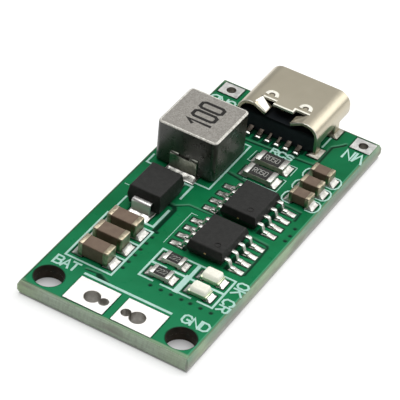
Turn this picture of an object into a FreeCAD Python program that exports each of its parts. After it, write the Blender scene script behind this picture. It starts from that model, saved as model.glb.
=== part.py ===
import FreeCAD, Part
import math
import os

# USB-C boost charger module for two lithium cells in series
#
# A small circuit board carries a USB-C receptacle, a moulded inductor, a rectifier diode, a controller
# chip, a transistor chip, chip capacitors, chip resistors and two status lights. Battery wires are
# soldered to two large pads at one end and input wires to two small pads beside the receptacle.
#
# The board lies flat. The origin is the centre of its underside, +Z is up, +Y runs towards the USB-C
# receptacle and +X runs across the board to the side of the positive input pad. All sizes are in mm.

# Circuit board, whose length and width at the faces follow from what stands on it. It was snapped out
# of a panel along V grooves, so its edges slope out from both faces to an upright band between them.
board_thickness = 1.6
board_groove_depth = 0.5
board_groove_half_width = 0.2
mount_hole_diameter = 2.9
mount_hole_side_inset = 1.8
mount_hole_front_inset = 1.92

# Tinned copper
pad_thickness = 0.05

# Battery wire pads, each with a keyhole made of a wire hole and a smaller relief hole
battery_pad_length = 4.2
battery_pad_depth = 3.28
battery_pad_front_inset = 0.34
battery_pad_gap = 0.86
battery_pads_middle = 0.1
wire_hole_diameter = 1.6
relief_hole_diameter = 1.0
relief_hole_spacing = 1.2
wire_hole_from_gap = 1.95
wire_hole_front_inset = 1.82

# Input wire pads
input_pad_length = 2.2
input_pad_depth = 1.76
input_pad_rear_inset = 0.3
positive_input_pad_side_inset = 0.06
negative_input_pad_side_inset = 0.35
input_hole_diameter = 1.0

# USB-C receptacle
usb_overhang = 1.55
usb_shell_length = 6.85
usb_shell_width = 8.94
usb_shell_height = 3.2
usb_shell_wall = 0.3
usb_shell_roundness = 0.4375
usb_shell_lift = 0.05
usb_middle_tab_width = 2.1
usb_middle_tab_setback = 1.0
usb_window_outer_half_width = 2.65
usb_window_setback = 1.55
usb_flap_inner_half_width = 1.4
usb_flap_drop = 0.62
usb_flap_gap = 0.22
usb_lance_radius = 0.62
usb_lance_slot = 0.24
usb_lance_spacing = 3.75
usb_lance_setback = 2.2
usb_leg_width = 0.9
usb_leg_reach = 1.4
usb_front_leg_setback = 2.5
usb_leg_slot_clearance = 0.12
usb_leg_heap_height = 0.18
usb_leg_pad_length = 1.7
usb_leg_pad_width = 1.3
usb_back_wall = 1.75
usb_back_recess = 0.12
usb_tongue_width = 6.65
usb_tongue_thickness = 0.7
usb_tongue_recess = 0.65
usb_tongue_root_length = 1.1
usb_tongue_root_growth = 0.28
usb_tongue_corner_radius = 0.4
usb_foot_clearance = 0.05
usb_contact_offsets = (0.52, 1.56, 2.7)
usb_power_contact_width = 0.5
usb_signal_contact_width = 0.3
usb_contact_thickness = 0.18
usb_contact_proud = 0.04
usb_contact_bend_radius = 0.25
usb_toe_reach = 0.6
usb_toe_flat = 0.3
usb_exit_height = 0.34
usb_riser_setback = 1.1
usb_riser_run = 0.35
usb_contact_tip_setback = 1.3
usb_toe_pad_length = 0.95
usb_toe_pad_width = 0.62

# Moulded power inductor
inductor_width = 6.55
inductor_length = 6.4
inductor_height = 4.75
inductor_corner_radius = 0.5
inductor_top_bevel = 0.1
inductor_terminal_width = 3.0
inductor_terminal_thickness = 0.2
inductor_terminal_exit_height = 1.85
inductor_terminal_foot = 1.5
inductor_notch_width = 1.2
inductor_notch_depth = 0.28
inductor_pad_reach = 0.95
inductor_pad_side_margin = 0.25

# Rectifier diode
diode_width = 3.62
diode_length = 4.4
diode_height = 2.35
diode_draft = 0.17
diode_lead_width = 2.0
diode_lead_thickness = 0.2
diode_lead_span = 5.35
diode_lead_foot = 1.0
diode_pad_reach = 0.85
diode_pad_side_margin = 0.2

# Output capacitors, a row of three beside the battery pads
output_cap_count = 3
output_cap_length = 3.2
output_cap_width = 1.6
output_cap_height = 1.55
output_cap_end = 0.5
output_cap_gap = 0.83
output_cap_pad_reach = 0.6

# Input capacitors, a row of three beside the sense resistors
input_cap_count = 3
input_cap_length = 2.2
input_cap_width = 1.33
input_cap_height = 1.15
input_cap_end = 0.42
input_cap_gap = 0.755
input_cap_pad_reach = 0.5

# Current sense resistors
sense_count = 2
sense_length = 3.05
sense_width = 1.6
sense_height = 0.6
sense_end = 0.5
sense_gap = 0.72
sense_pad_reach = 0.5

# Resistors for the status lights
light_resistor_length = 2.0
light_resistor_width = 1.25
light_resistor_height = 0.5
light_resistor_end = 0.38
light_resistor_pad_reach = 0.5

# Status lights
light_count = 2
light_length = 2.0
light_width = 1.25
light_base_height = 0.35
light_lens_length = 1.7
light_lens_height = 0.56
light_end = 0.28
light_row_gap = 1.0
light_pad_reach = 0.45

# Controller chip and transistor chip, in like packages
chip_width = 3.9
chip_length = 4.9
chip_height = 1.55
chip_standoff = 0.12
chip_draft = 0.24
chip_dimple_diameter = 0.55
chip_dimple_depth = 0.06
chip_dimple_across = 0.8
chip_dimple_along = -1.45
chip_lead_count = 4
chip_lead_pitch = 1.27
chip_lead_width = 0.42
chip_lead_thickness = 0.2
chip_lead_height = 0.8
chip_lead_shoulder = 0.42
chip_lead_slope = 0.2
chip_lead_span = 6.05
chip_lead_bend_radius = 0.3
chip_pad_reach = 0.85
chip_pad_length = 1.75
chip_pad_width = 0.62

# Gaps along the board, from the battery end
battery_pads_to_output_caps = 2.15
output_caps_to_diode = 0.88
diode_to_inductor = 0.3
inductor_to_receptacle = 2.04
sense_resistors_to_receptacle = 2.81
battery_pads_to_lights = 3.6
lights_to_controller = 1.1
controller_to_transistor = 1.15
transistor_to_sense = 1.7
transistor_to_input_caps = 0.96

# Gaps across the board, from the left edge
edge_to_inductor = 0.8
inductor_to_chips = 0.945
chips_to_edge = 1.555

# How far the other parts stand to the side of the inductor or of the chips
output_caps_beside_inductor = -0.165
diode_beside_inductor = -0.105
sense_resistors_beside_chips = -1.655
light_resistors_beside_chips = -2.05
lights_beside_chips = 1.99
input_caps_beside_chips = 3.28

# Sheet metal, moulding and soldering details that several parts share
lead_embedding = 0.35
terminal_bend_radius = 0.28
moulding_edge_bevel = 0.07
ceramic_edge_bevel = 0.06
end_metal_thickness = 0.04
end_metal_edge_bevel = 0.09
light_lens_bevel = 0.17
overcoat_thickness = 0.04
solder_rise_share = 0.62
solder_flatness = 1.08
solder_toe_margin = 0.06

# Sizes that follow from the others, a half being the room that a soldered part takes from its middle
usb_shell_corner_radius = usb_shell_roundness * usb_shell_height
output_caps_depth = output_cap_count * output_cap_width + (output_cap_count - 1) * output_cap_gap
diode_half = diode_lead_span / 2 + diode_pad_reach
inductor_half = inductor_length / 2 + inductor_terminal_thickness + inductor_pad_reach
chip_half = chip_lead_span / 2 + chip_pad_reach
lights_depth = light_count * light_width + (light_count - 1) * light_row_gap
sense_depth = sense_count * sense_width + (sense_count - 1) * sense_gap
left_column = (battery_pads_to_output_caps + output_caps_depth + output_caps_to_diode + 2 * diode_half
               + diode_to_inductor + 2 * inductor_half + inductor_to_receptacle)
chip_column = (battery_pads_to_lights + lights_depth + lights_to_controller + chip_length
               + controller_to_transistor + chip_length + transistor_to_sense + sense_depth
               + sense_resistors_to_receptacle)
board_length = (battery_pad_front_inset + battery_pad_depth + max(left_column, chip_column)
                + usb_shell_length - usb_overhang)
board_width = edge_to_inductor + inductor_width + inductor_to_chips + 2 * chip_half + chips_to_edge

# Places that follow from the sizes
board_top = board_thickness
pad_top = board_top + pad_thickness
front_edge = -board_length / 2
rear_edge = board_length / 2
left_edge = -board_width / 2
right_edge = board_width / 2
battery_pad_rear = front_edge + battery_pad_front_inset + battery_pad_depth
inductor_x = left_edge + edge_to_inductor + inductor_width / 2
chip_x = right_edge - chips_to_edge - chip_half


def vec(x, y, z):
    return FreeCAD.Vector(x, y, z)


def block(x, y, z, x_size, y_size, z_size):
    """A box that is centred on x and y and stands on z."""
    return Part.makeBox(x_size, y_size, z_size, vec(x - x_size / 2, y - y_size / 2, z))


def upright_edges(shape):
    """The straight edges of a shape that run along Z."""
    return [edge for edge in shape.Edges
            if abs(edge.Vertexes[0].Z - edge.Vertexes[-1].Z) > 0.9 * edge.Length > 0]


def plate(x, y, z, x_size, y_size, z_size, corner_radius):
    """A flat plate with rounded corners, centred on x and y and standing on z."""
    body = block(x, y, z, x_size, y_size, z_size)
    return body.makeFillet(corner_radius, upright_edges(body))


def cylinder(x, y, z, diameter, height):
    return Part.makeCylinder(diameter / 2, height, vec(x, y, z))


def joined(shapes):
    """One solid from touching or overlapping solids."""
    return shapes[0].multiFuse(shapes[1:]).removeSplitter() if len(shapes) > 1 else shapes[0]


def moved(shape, x, y, z=0.0, turn=0.0):
    """A copy turned about Z by some degrees and then moved."""
    copy = shape.copy()
    copy.rotate(vec(0, 0, 0), vec(0, 0, 1), turn)
    copy.translate(vec(x, y, z))
    return copy


def rectangle(x_size, y_size, z):
    """A closed rectangle at height z, centred on the Z axis."""
    x, y = x_size / 2, y_size / 2
    corners = [vec(-x, -y, z), vec(x, -y, z), vec(x, y, z), vec(-x, y, z), vec(-x, -y, z)]
    return Part.makePolygon(corners)


def edges_at(shape, z):
    """The edges of a shape that lie flat at height z."""
    return [edge for edge in shape.Edges
            if abs(edge.BoundBox.ZMin - z) < 1e-6 and abs(edge.BoundBox.ZMax - z) < 1e-6]


def moulded_body(x_size, y_size, z_low, z_parting, z_high, draft):
    """A moulded package, widest at its parting line and drafted towards its top and its underside."""
    middle = rectangle(x_size, y_size, z_parting)
    top = rectangle(x_size - 2 * draft, y_size - 2 * draft, z_high)
    low_draft = draft * (z_parting - z_low) / (z_high - z_parting)
    bottom = rectangle(x_size - 2 * low_draft, y_size - 2 * low_draft, z_low)
    upper = Part.makeLoft([middle, top], True, True)
    lower = Part.makeLoft([bottom, middle], True, True)
    return upper.fuse(lower)


def bevelled_moulding(x_size, y_size, z_low, z_parting, z_high, draft):
    """A moulded package whose top edges are slightly bevelled."""
    body = moulded_body(x_size, y_size, z_low, z_parting, z_high, draft)
    return body.makeChamfer(moulding_edge_bevel, edges_at(body, z_high))


def strip_side(points, offset, bend_radii):
    """Edges along one side of a bent strip, offset to the left of its middle line in the XZ plane.

    bend_radii holds the outer radius of each bend, or 0 for a sharp fold. The inside is always sharp.
    """
    path = [vec(x, 0, z) for x, z in points]
    runs = [(b - a).normalize() for a, b in zip(path, path[1:])]
    lefts = [vec(-run.z, 0, run.x) for run in runs]
    first = path[0] + lefts[0] * offset
    finish = path[-1] + lefts[-1] * offset
    last = first
    edges = []
    for index, radius in enumerate(bend_radii):
        run, next_run = runs[index], runs[index + 1]
        half_turn = run.getAngle(next_run) / 2
        outward = (run - next_run).normalize()
        middle_normal = (lefts[index] + lefts[index + 1]).normalize()
        corner = path[index + 1] + middle_normal * (offset / math.cos(half_turn))
        outside = outward.dot(middle_normal) * offset > 0
        if not outside or radius == 0:
            edges.append(Part.makeLine(last, corner))
            last = corner
            continue
        start = corner - run * (radius * math.tan(half_turn))
        end = corner + next_run * (radius * math.tan(half_turn))
        crown = corner - outward * (radius / math.cos(half_turn) - radius)
        edges.append(Part.makeLine(last, start))
        edges.append(Part.Arc(start, crown, end).toShape())
        last = end
    edges.append(Part.makeLine(last, finish))
    return edges, first, finish


def bent_strip(points, thickness, width, bend_radii):
    """Sheet metal bent along a line of (x, z) points, with its width along Y and centred on it."""
    left_edges, left_start, left_end = strip_side(points, thickness / 2, bend_radii)
    right_edges, right_start, right_end = strip_side(points, -thickness / 2, bend_radii)
    ends = [Part.makeLine(left_start, right_start), Part.makeLine(left_end, right_end)]
    outline = Part.Wire(Part.__sortEdges__(left_edges + right_edges + ends))
    strip = Part.Face(outline).extrude(vec(0, width, 0))
    strip.translate(vec(0, -width / 2, 0))
    return strip


def solder_joint(face, pad_inner, pad_outer, pad_width, rise, joint_width):
    """A pad on the board and the solder that climbs from it up a metal end face at x = face.

    The joint looks along +X, stands on z = 0 and is centred on Y. The solder is a hollow curve.
    """
    pad = block((pad_inner + pad_outer) / 2, 0, 0, pad_outer - pad_inner, pad_width, pad_thickness)
    toe = pad_outer - solder_toe_margin
    foot = vec(face, -joint_width / 2, pad_thickness)
    crest = vec(face, -joint_width / 2, pad_thickness + rise)
    tip = vec(toe, -joint_width / 2, pad_thickness)
    chord = (tip - crest).Length
    radius = solder_flatness * chord ** 2 / (2 * min(toe - face, rise))
    sag = radius - math.sqrt(radius ** 2 - chord ** 2 / 4)
    hollow = (crest + tip) * 0.5 + vec(-rise, 0, face - toe).normalize() * sag
    outline = Part.Wire([Part.makeLine(foot, crest), Part.Arc(crest, hollow, tip).toShape(),
                         Part.makeLine(tip, foot)])
    solder = Part.Face(outline).extrude(vec(0, joint_width, 0))
    return joined([pad, solder])


def both_ends(shape):
    """A part that looks along +X and its twin that looks along -X."""
    return [shape, moved(shape, 0, 0, 0, 180)]


def chip_solder(length, width, height, end, pad_reach):
    """The pads and solder at both ends of a chip part whose long axis is X."""
    face = length / 2
    joint = solder_joint(face, face - end, face + pad_reach, width, solder_rise_share * height, width * 0.86)
    return both_ends(joint)


def end_metal(length, width, height, end, core):
    """The two metal caps that wrap the ends of a ceramic capacitor."""
    whole = block(0, 0, 0, length, width, height)
    whole = whole.makeChamfer(end_metal_edge_bevel, whole.Edges)
    sleeve = whole.cut(block(0, 0, 0, length - 2 * end, width, height))
    return sleeve.cut(core).Solids


def capacitor(length, width, height, end):
    """The ceramic body and the two end caps of a chip capacitor that stands on z = 0."""
    skin = end_metal_thickness
    core = block(0, 0, skin, length - 2 * skin, width - 2 * skin, height - 2 * skin)
    core = core.makeChamfer(ceramic_edge_bevel, core.Edges)
    return core, end_metal(length, width, height, end, core)


def resistor(length, width, height, end):
    """The ceramic base, black overcoat and two wrapped ends of a chip resistor that stands on z = 0."""
    skin = end_metal_thickness
    base = block(0, 0, skin, length - 2 * skin, width, height - skin - overcoat_thickness)
    coat = block(0, 0, height - overcoat_thickness, length - 2 * end, width - 2 * overcoat_thickness,
                 overcoat_thickness)
    envelope = block(0, 0, 0, length, width, height - overcoat_thickness + skin)
    wrap = envelope.cut(block(0, 0, 0, length - 2 * end, width, height + skin))
    return base, coat, wrap.cut(base).Solids


def status_light():
    """The base, milky lens and two gilt ends of a status light that stands on z = 0."""
    base = block(0, 0, 0, light_length, light_width, light_base_height)
    ends = base.cut(block(0, 0, 0, light_length - 2 * light_end, light_width, light_base_height))
    base = block(0, 0, 0, light_length - 2 * light_end, light_width, light_base_height)
    lens = block(0, 0, light_base_height, light_lens_length, light_width, light_lens_height)
    lens_top = edges_at(lens, light_base_height + light_lens_height)
    lens = lens.makeChamfer(light_lens_bevel, upright_edges(lens) + lens_top)
    return base, lens, ends.Solids


def chip_lead():
    """One gull-wing lead that looks along +X and stands on z = 0."""
    side = chip_width / 2
    shoulder = side + chip_lead_shoulder
    foot = chip_lead_thickness / 2
    path = [(side - lead_embedding, chip_lead_height), (shoulder, chip_lead_height),
            (shoulder + chip_lead_slope, foot), (chip_lead_span / 2, foot)]
    return bent_strip(path, chip_lead_thickness, chip_lead_width, [chip_lead_bend_radius] * 2)


def chip_package():
    """The moulded body, leads and solder of an eight-lead chip that stands on z = 0."""
    first = -(chip_lead_count - 1) / 2 * chip_lead_pitch
    rows = [first + index * chip_lead_pitch for index in range(chip_lead_count)]
    leads = [moved(lead, 0, y) for lead in both_ends(chip_lead()) for y in rows]
    body = bevelled_moulding(chip_width, chip_length, chip_standoff, chip_lead_height, chip_height,
                             chip_draft)
    dimple = cylinder(chip_dimple_across, chip_dimple_along, chip_height - chip_dimple_depth,
                      chip_dimple_diameter, chip_dimple_depth)
    body = body.cut(dimple)
    for lead in leads:
        body = body.cut(lead)
    toe = chip_lead_span / 2
    joint = solder_joint(toe, toe + chip_pad_reach - chip_pad_length, toe + chip_pad_reach,
                         chip_pad_width, chip_lead_thickness * 1.1, chip_pad_width * 0.8)
    solder = [moved(side, 0, y) for side in both_ends(joint) for y in rows]
    return body, leads, solder


def j_terminals(body_length, lead_span, exit_height, foot_length, thickness, width):
    """Two leads that leave the ends of a moulded body, fold down its faces and tuck under it."""
    outer = lead_span / 2 - thickness / 2
    foot = thickness / 2
    path = [(body_length / 2 - lead_embedding, exit_height), (outer, exit_height), (outer, foot),
            (outer - foot_length, foot)]
    return both_ends(bent_strip(path, thickness, width, [terminal_bend_radius] * 2))


def rectifier():
    """The body, leads and solder of the diode, with its long axis along X and standing on z = 0."""
    parting = (diode_lead_thickness + diode_height) / 2
    leads = j_terminals(diode_length, diode_lead_span, parting, diode_lead_foot,
                        diode_lead_thickness, diode_lead_width)
    body = bevelled_moulding(diode_length, diode_width, diode_lead_thickness, parting, diode_height,
                             diode_draft)
    for lead in leads:
        body = body.cut(lead)
    face = diode_lead_span / 2
    joint = solder_joint(face, face - diode_lead_foot, face + diode_pad_reach,
                         diode_lead_width + 2 * diode_pad_side_margin, solder_rise_share * parting,
                         diode_lead_width)
    return body, leads, both_ends(joint)


def power_inductor():
    """The body, terminals and solder of the inductor, with its terminals along X, standing on z = 0."""
    thickness = inductor_terminal_thickness
    span = inductor_length + 2 * thickness
    terminals = j_terminals(inductor_length, span, inductor_terminal_exit_height, inductor_terminal_foot,
                            thickness, inductor_terminal_width)
    notch_base = inductor_terminal_exit_height + thickness / 2 - inductor_notch_depth
    notch = block(0, 0, notch_base, 2 * span, inductor_notch_width, inductor_notch_depth)
    terminals = [terminal.cut(notch) for terminal in terminals]
    body = plate(0, 0, thickness, inductor_length, inductor_width, inductor_height - thickness,
                 inductor_corner_radius)
    body = body.makeChamfer(inductor_top_bevel, edges_at(body, inductor_height))
    for terminal in terminals:
        body = body.cut(terminal)
    face = span / 2
    joint = solder_joint(face, face - inductor_terminal_foot, face + inductor_pad_reach,
                         inductor_terminal_width + 2 * inductor_pad_side_margin,
                         solder_rise_share * inductor_terminal_exit_height * 0.6, inductor_terminal_width)
    return body, terminals, both_ends(joint)


def shell_section(outset):
    """The rounded section of the receptacle's shell in the XZ plane, grown by outset, at y = 0."""
    width = usb_shell_width + 2 * outset
    height = usb_shell_height + 2 * outset
    radius = usb_shell_corner_radius + outset
    section = plate(0, 0, 0, width, height, 1.0, radius)
    face = [face for face in section.Faces if face.CenterOfMass.z < 1e-6][0]
    face = face.copy()
    face.rotate(vec(0, 0, 0), vec(1, 0, 0), 90)
    face.translate(vec(0, 0, usb_shell_lift + usb_shell_height / 2))
    return face


def shell_tube(outset, y_front, y_rear):
    """A solid of the shell's section between two places along Y."""
    tube = shell_section(outset).extrude(vec(0, y_rear - y_front, 0))
    tube.translate(vec(0, y_front, 0))
    return tube


def usb_leg(y_middle):
    """One shell leg on the +X side: the wall runs straight down from mid-height into the board."""
    mid_height = usb_shell_lift + usb_shell_height / 2
    outer = usb_shell_width / 2
    return block(outer - usb_shell_wall / 2, y_middle, -usb_leg_reach, usb_shell_wall, usb_leg_width,
                 mid_height + usb_leg_reach)


def usb_leg_middles():
    """The places along Y of the legs, with the shell's mouth at y = 0."""
    return [-usb_shell_length + usb_leg_width / 2, -usb_front_leg_setback]


def mirrored(shape):
    return shape.mirror(vec(0, 0, 0), vec(1, 0, 0))


def usb_flap():
    """The rear flap on the +X side: a tab of the top wall that dips towards the middle."""
    top = usb_shell_lift + usb_shell_height
    middle = top - usb_shell_wall / 2
    root = usb_window_outer_half_width + usb_shell_wall
    path = [(root, middle), (usb_window_outer_half_width, middle),
            (usb_flap_inner_half_width, middle - usb_flap_drop)]
    front = -usb_shell_length + usb_window_setback - usb_flap_gap
    width = front + usb_shell_length
    flap = bent_strip(path, usb_shell_wall, width, [2 * usb_shell_wall])
    flap.translate(vec(0, -usb_shell_length + width / 2, 0))
    return flap


def usb_lance(x_middle):
    """A crescent slot through the top wall that frees a small latch spring."""
    base = usb_shell_lift + usb_shell_height - 2 * usb_shell_wall
    y = -usb_shell_length + usb_lance_setback
    outer = cylinder(x_middle, y, base, 2 * usb_lance_radius, 4 * usb_shell_wall)
    inner = cylinder(x_middle, y, base, 2 * (usb_lance_radius - usb_lance_slot), 4 * usb_shell_wall)
    ring = outer.cut(inner)
    front_half = block(x_middle, y + usb_lance_radius, base, 4 * usb_lance_radius, 2 * usb_lance_radius,
                       4 * usb_shell_wall)
    return ring.common(front_half)


def usb_shell():
    """The drawn steel shell with its rear window, flaps, latch slots and four legs."""
    rear = -usb_shell_length
    top = usb_shell_lift + usb_shell_height
    tube = shell_tube(0, 0, rear).cut(shell_tube(-usb_shell_wall, 0, rear))
    window = block(0, rear + usb_window_setback / 2, top - usb_shell_wall, 2 * usb_window_outer_half_width,
                   usb_window_setback, 2 * usb_shell_wall)
    tab = block(0, rear + (usb_middle_tab_setback + usb_window_setback) / 2, top - usb_shell_wall,
                usb_middle_tab_width, usb_window_setback - usb_middle_tab_setback, usb_shell_wall)
    tube = tube.cut(window.cut(tab))
    for x in (-usb_lance_spacing / 2, usb_lance_spacing / 2):
        tube = tube.cut(usb_lance(x))
    mid_height = usb_shell_lift + usb_shell_height / 2
    floor_cut = block(0, rear + usb_back_wall / 2, 0, usb_shell_width - 2 * usb_shell_wall, usb_back_wall,
                      mid_height)
    tube = tube.cut(floor_cut)
    legs = []
    for y in usb_leg_middles():
        curl = block(usb_shell_width / 2, y, usb_shell_lift - usb_shell_wall, 2 * usb_shell_corner_radius,
                     usb_leg_width, mid_height - usb_shell_lift + usb_shell_wall)
        tube = tube.cut(curl).cut(mirrored(curl))
        leg = usb_leg(y)
        legs += [leg, mirrored(leg)]
    flap = usb_flap()
    return joined([tube, flap, mirrored(flap)] + legs)


def usb_contact(x, faces):
    """One contact: a toe on the board, a riser in the housing's back and a blade on the tongue.

    faces holds 1 for a blade on the tongue's upper face and -1 for one on its lower face.
    """
    rear = -usb_shell_length
    half = usb_contact_thickness / 2
    foot = half + pad_thickness
    middle = usb_shell_lift + usb_shell_height / 2
    blade_offset = usb_tongue_thickness / 2 - half + usb_contact_proud
    riser = rear + usb_riser_setback
    toe = [(rear - usb_toe_reach, foot), (rear - usb_toe_reach + usb_toe_flat, foot),
           (rear + usb_back_recess, usb_exit_height)]
    width = usb_power_contact_width if len(faces) > 1 else usb_signal_contact_width
    strips = []
    for face in faces:
        height = middle + face * blade_offset
        path = toe + [(riser, usb_exit_height), (riser + usb_riser_run, height),
                      (-usb_contact_tip_setback, height)]
        radii = [usb_contact_bend_radius, usb_contact_bend_radius, 0, 0]
        strips.append(bent_strip(path, usb_contact_thickness, width, radii))
    contact = joined(strips)
    contact.rotate(vec(0, 0, 0), vec(0, 0, 1), 90)
    contact.translate(vec(x, 0, 0))
    return contact


def usb_toe_places():
    """Where the contacts stand across the receptacle."""
    return sorted([-offset for offset in usb_contact_offsets] + list(usb_contact_offsets))


def usb_contacts():
    """The six contacts: power and ground on both faces of the tongue, the two sense contacts on one."""
    sense_offset = min(usb_contact_offsets)
    faces = {-sense_offset: (1,), sense_offset: (-1,)}
    return [usb_contact(x, faces.get(x, (1, -1))) for x in usb_toe_places()]


def usb_housing(shell, contacts):
    """The black insulator: a block that fills the back of the shell, with the plug tongue before it."""
    rear = -usb_shell_length
    back = rear + usb_back_recess
    middle = usb_shell_lift + usb_shell_height / 2
    front = rear + usb_back_wall
    depth = front - back
    core = shell_tube(-usb_shell_wall, back, front)
    leg_pad_inner = (usb_shell_width - usb_shell_wall - usb_leg_pad_width) / 2
    foot = block(0, (back + front) / 2, pad_thickness, 2 * (leg_pad_inner - usb_foot_clearance), depth,
                 middle - pad_thickness)
    skirt_base = pad_thickness + usb_leg_heap_height + usb_foot_clearance
    skirt = block(0, (back + front) / 2, skirt_base, usb_shell_width - 2 * usb_shell_wall, depth,
                  middle - skirt_base)
    tongue_tip = -usb_tongue_recess
    tongue = plate(0, (back + tongue_tip) / 2, middle - usb_tongue_thickness / 2, usb_tongue_width,
                   tongue_tip - back, usb_tongue_thickness, usb_tongue_corner_radius)
    root_height = usb_tongue_thickness + 2 * usb_tongue_root_growth
    root = block(0, (back + front + usb_tongue_root_length) / 2, middle - root_height / 2,
                 usb_tongue_width, depth + usb_tongue_root_length, root_height)
    housing = joined([core, foot, skirt, tongue, root]).cut(shell)
    for contact in contacts:
        housing = housing.cut(contact)
    return housing


def usb_leg_joint(y):
    """The plated slot of one shell leg on the +X side: its two pads and the solder that fills it."""
    x = (usb_shell_width - usb_shell_wall) / 2
    grow = 2 * usb_leg_slot_clearance
    pads = [block(x, y, z, usb_leg_pad_width, usb_leg_pad_length, pad_thickness)
            for z in (0, -board_thickness)]
    filling = block(x, y, -board_thickness, usb_shell_wall + grow, usb_leg_width + grow, board_thickness)
    foot = rectangle(usb_leg_pad_width, usb_leg_pad_length, pad_thickness)
    crest = rectangle(usb_shell_wall + grow, usb_leg_width + grow, pad_thickness + usb_leg_heap_height)
    heap = Part.makeLoft([foot, crest], True, True)
    heap.translate(vec(x, y, 0))
    return joined(pads + [filling, heap]).cut(usb_leg(y))


def usb_leg_opening(y):
    """What the plated slot of one shell leg on the +X side takes out of the board."""
    x = (usb_shell_width - usb_shell_wall) / 2
    grow = 2 * usb_leg_slot_clearance
    slot = block(x, y, -board_thickness, usb_shell_wall + grow, usb_leg_width + grow, board_thickness)
    pad = block(x, y, -board_thickness, usb_leg_pad_width, usb_leg_pad_length, pad_thickness)
    return joined([slot, pad])


def usb_solder():
    """The solder of the legs and of the toes."""
    legs = []
    for y in usb_leg_middles():
        joint = usb_leg_joint(y)
        legs += [joint, mirrored(joint)]
    toe = usb_shell_length + usb_toe_reach
    joint = solder_joint(toe, toe - usb_toe_flat, toe + usb_toe_pad_length - usb_toe_flat,
                         usb_toe_pad_width, usb_contact_thickness * 1.2, usb_toe_pad_width * 0.8)
    joint.rotate(vec(0, 0, 0), vec(0, 0, 1), -90)
    return legs, [moved(joint, x, 0) for x in usb_toe_places()]


def bare_board():
    """The board before any hole is cut, with its snapped edges."""
    outer_width = board_width + 2 * board_groove_half_width
    outer_length = board_length + 2 * board_groove_half_width
    levels = [rectangle(board_width, board_length, 0),
              rectangle(outer_width, outer_length, board_groove_depth),
              rectangle(outer_width, outer_length, board_thickness - board_groove_depth),
              rectangle(board_width, board_length, board_thickness)]
    return Part.makeLoft(levels, True, True)


def leg_openings(usb_y):
    """What the four plated slots take out of the board."""
    openings = []
    for y in usb_leg_middles():
        opening = moved(usb_leg_opening(y), 0, usb_y, board_top)
        openings += [opening, mirrored(opening)]
    return openings


def mount_holes():
    """The two plain mounting holes at the battery end."""
    y = front_edge + mount_hole_front_inset
    x = right_edge - mount_hole_side_inset
    return [cylinder(side * x, y, 0, mount_hole_diameter, board_thickness) for side in (-1, 1)]


def pad_pair(x, y, x_size, y_size, holes):
    """A pad on each face of the board, and the holes that run through both.

    holes is a list of (x, y, diameter). The lower pad lies flush in the underside. The second result
    is what the pads and holes take out of the board.
    """
    upper = block(x, y, board_top, x_size, y_size, pad_thickness)
    lower = block(x, y, 0, x_size, y_size, pad_thickness)
    bore = joined([cylinder(hole_x, hole_y, 0, diameter, board_thickness + pad_thickness)
                   for hole_x, hole_y, diameter in holes])
    return [upper.cut(bore), lower.cut(bore)], joined([lower, bore])


def battery_pads():
    """The two battery pads, each with its keyhole, as (name, upper and lower pad, opening)."""
    pads = []
    y = front_edge + battery_pad_front_inset + battery_pad_depth / 2
    hole_y = front_edge + wire_hole_front_inset
    for side, name in ((-1, "positive"), (1, "negative")):
        x = battery_pads_middle + side * (battery_pad_gap + battery_pad_length) / 2
        hole_x = battery_pads_middle + side * (battery_pad_gap / 2 + wire_hole_from_gap)
        relief_x = hole_x - side * relief_hole_spacing
        holes = [(hole_x, hole_y, wire_hole_diameter), (relief_x, hole_y, relief_hole_diameter)]
        pair, opening = pad_pair(x, y, battery_pad_length, battery_pad_depth, holes)
        pads.append(("battery_pad_" + name, pair, opening))
    return pads


def input_pads():
    """The two input pads beside the receptacle, as (name, upper and lower pad, opening)."""
    y = rear_edge - input_pad_rear_inset - input_pad_depth / 2
    places = {"positive": right_edge - positive_input_pad_side_inset - input_pad_length / 2,
              "negative": left_edge + negative_input_pad_side_inset + input_pad_length / 2}
    pads = []
    for name, x in places.items():
        pair, opening = pad_pair(x, y, input_pad_length, input_pad_depth, [(x, y, input_hole_diameter)])
        pads.append(("input_pad_" + name, pair, opening))
    return pads


def row_of(count, size, gap, start):
    """The middles of a row of like parts that starts at start and runs along +Y."""
    return [start + size / 2 + index * (size + gap) for index in range(count)]


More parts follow.
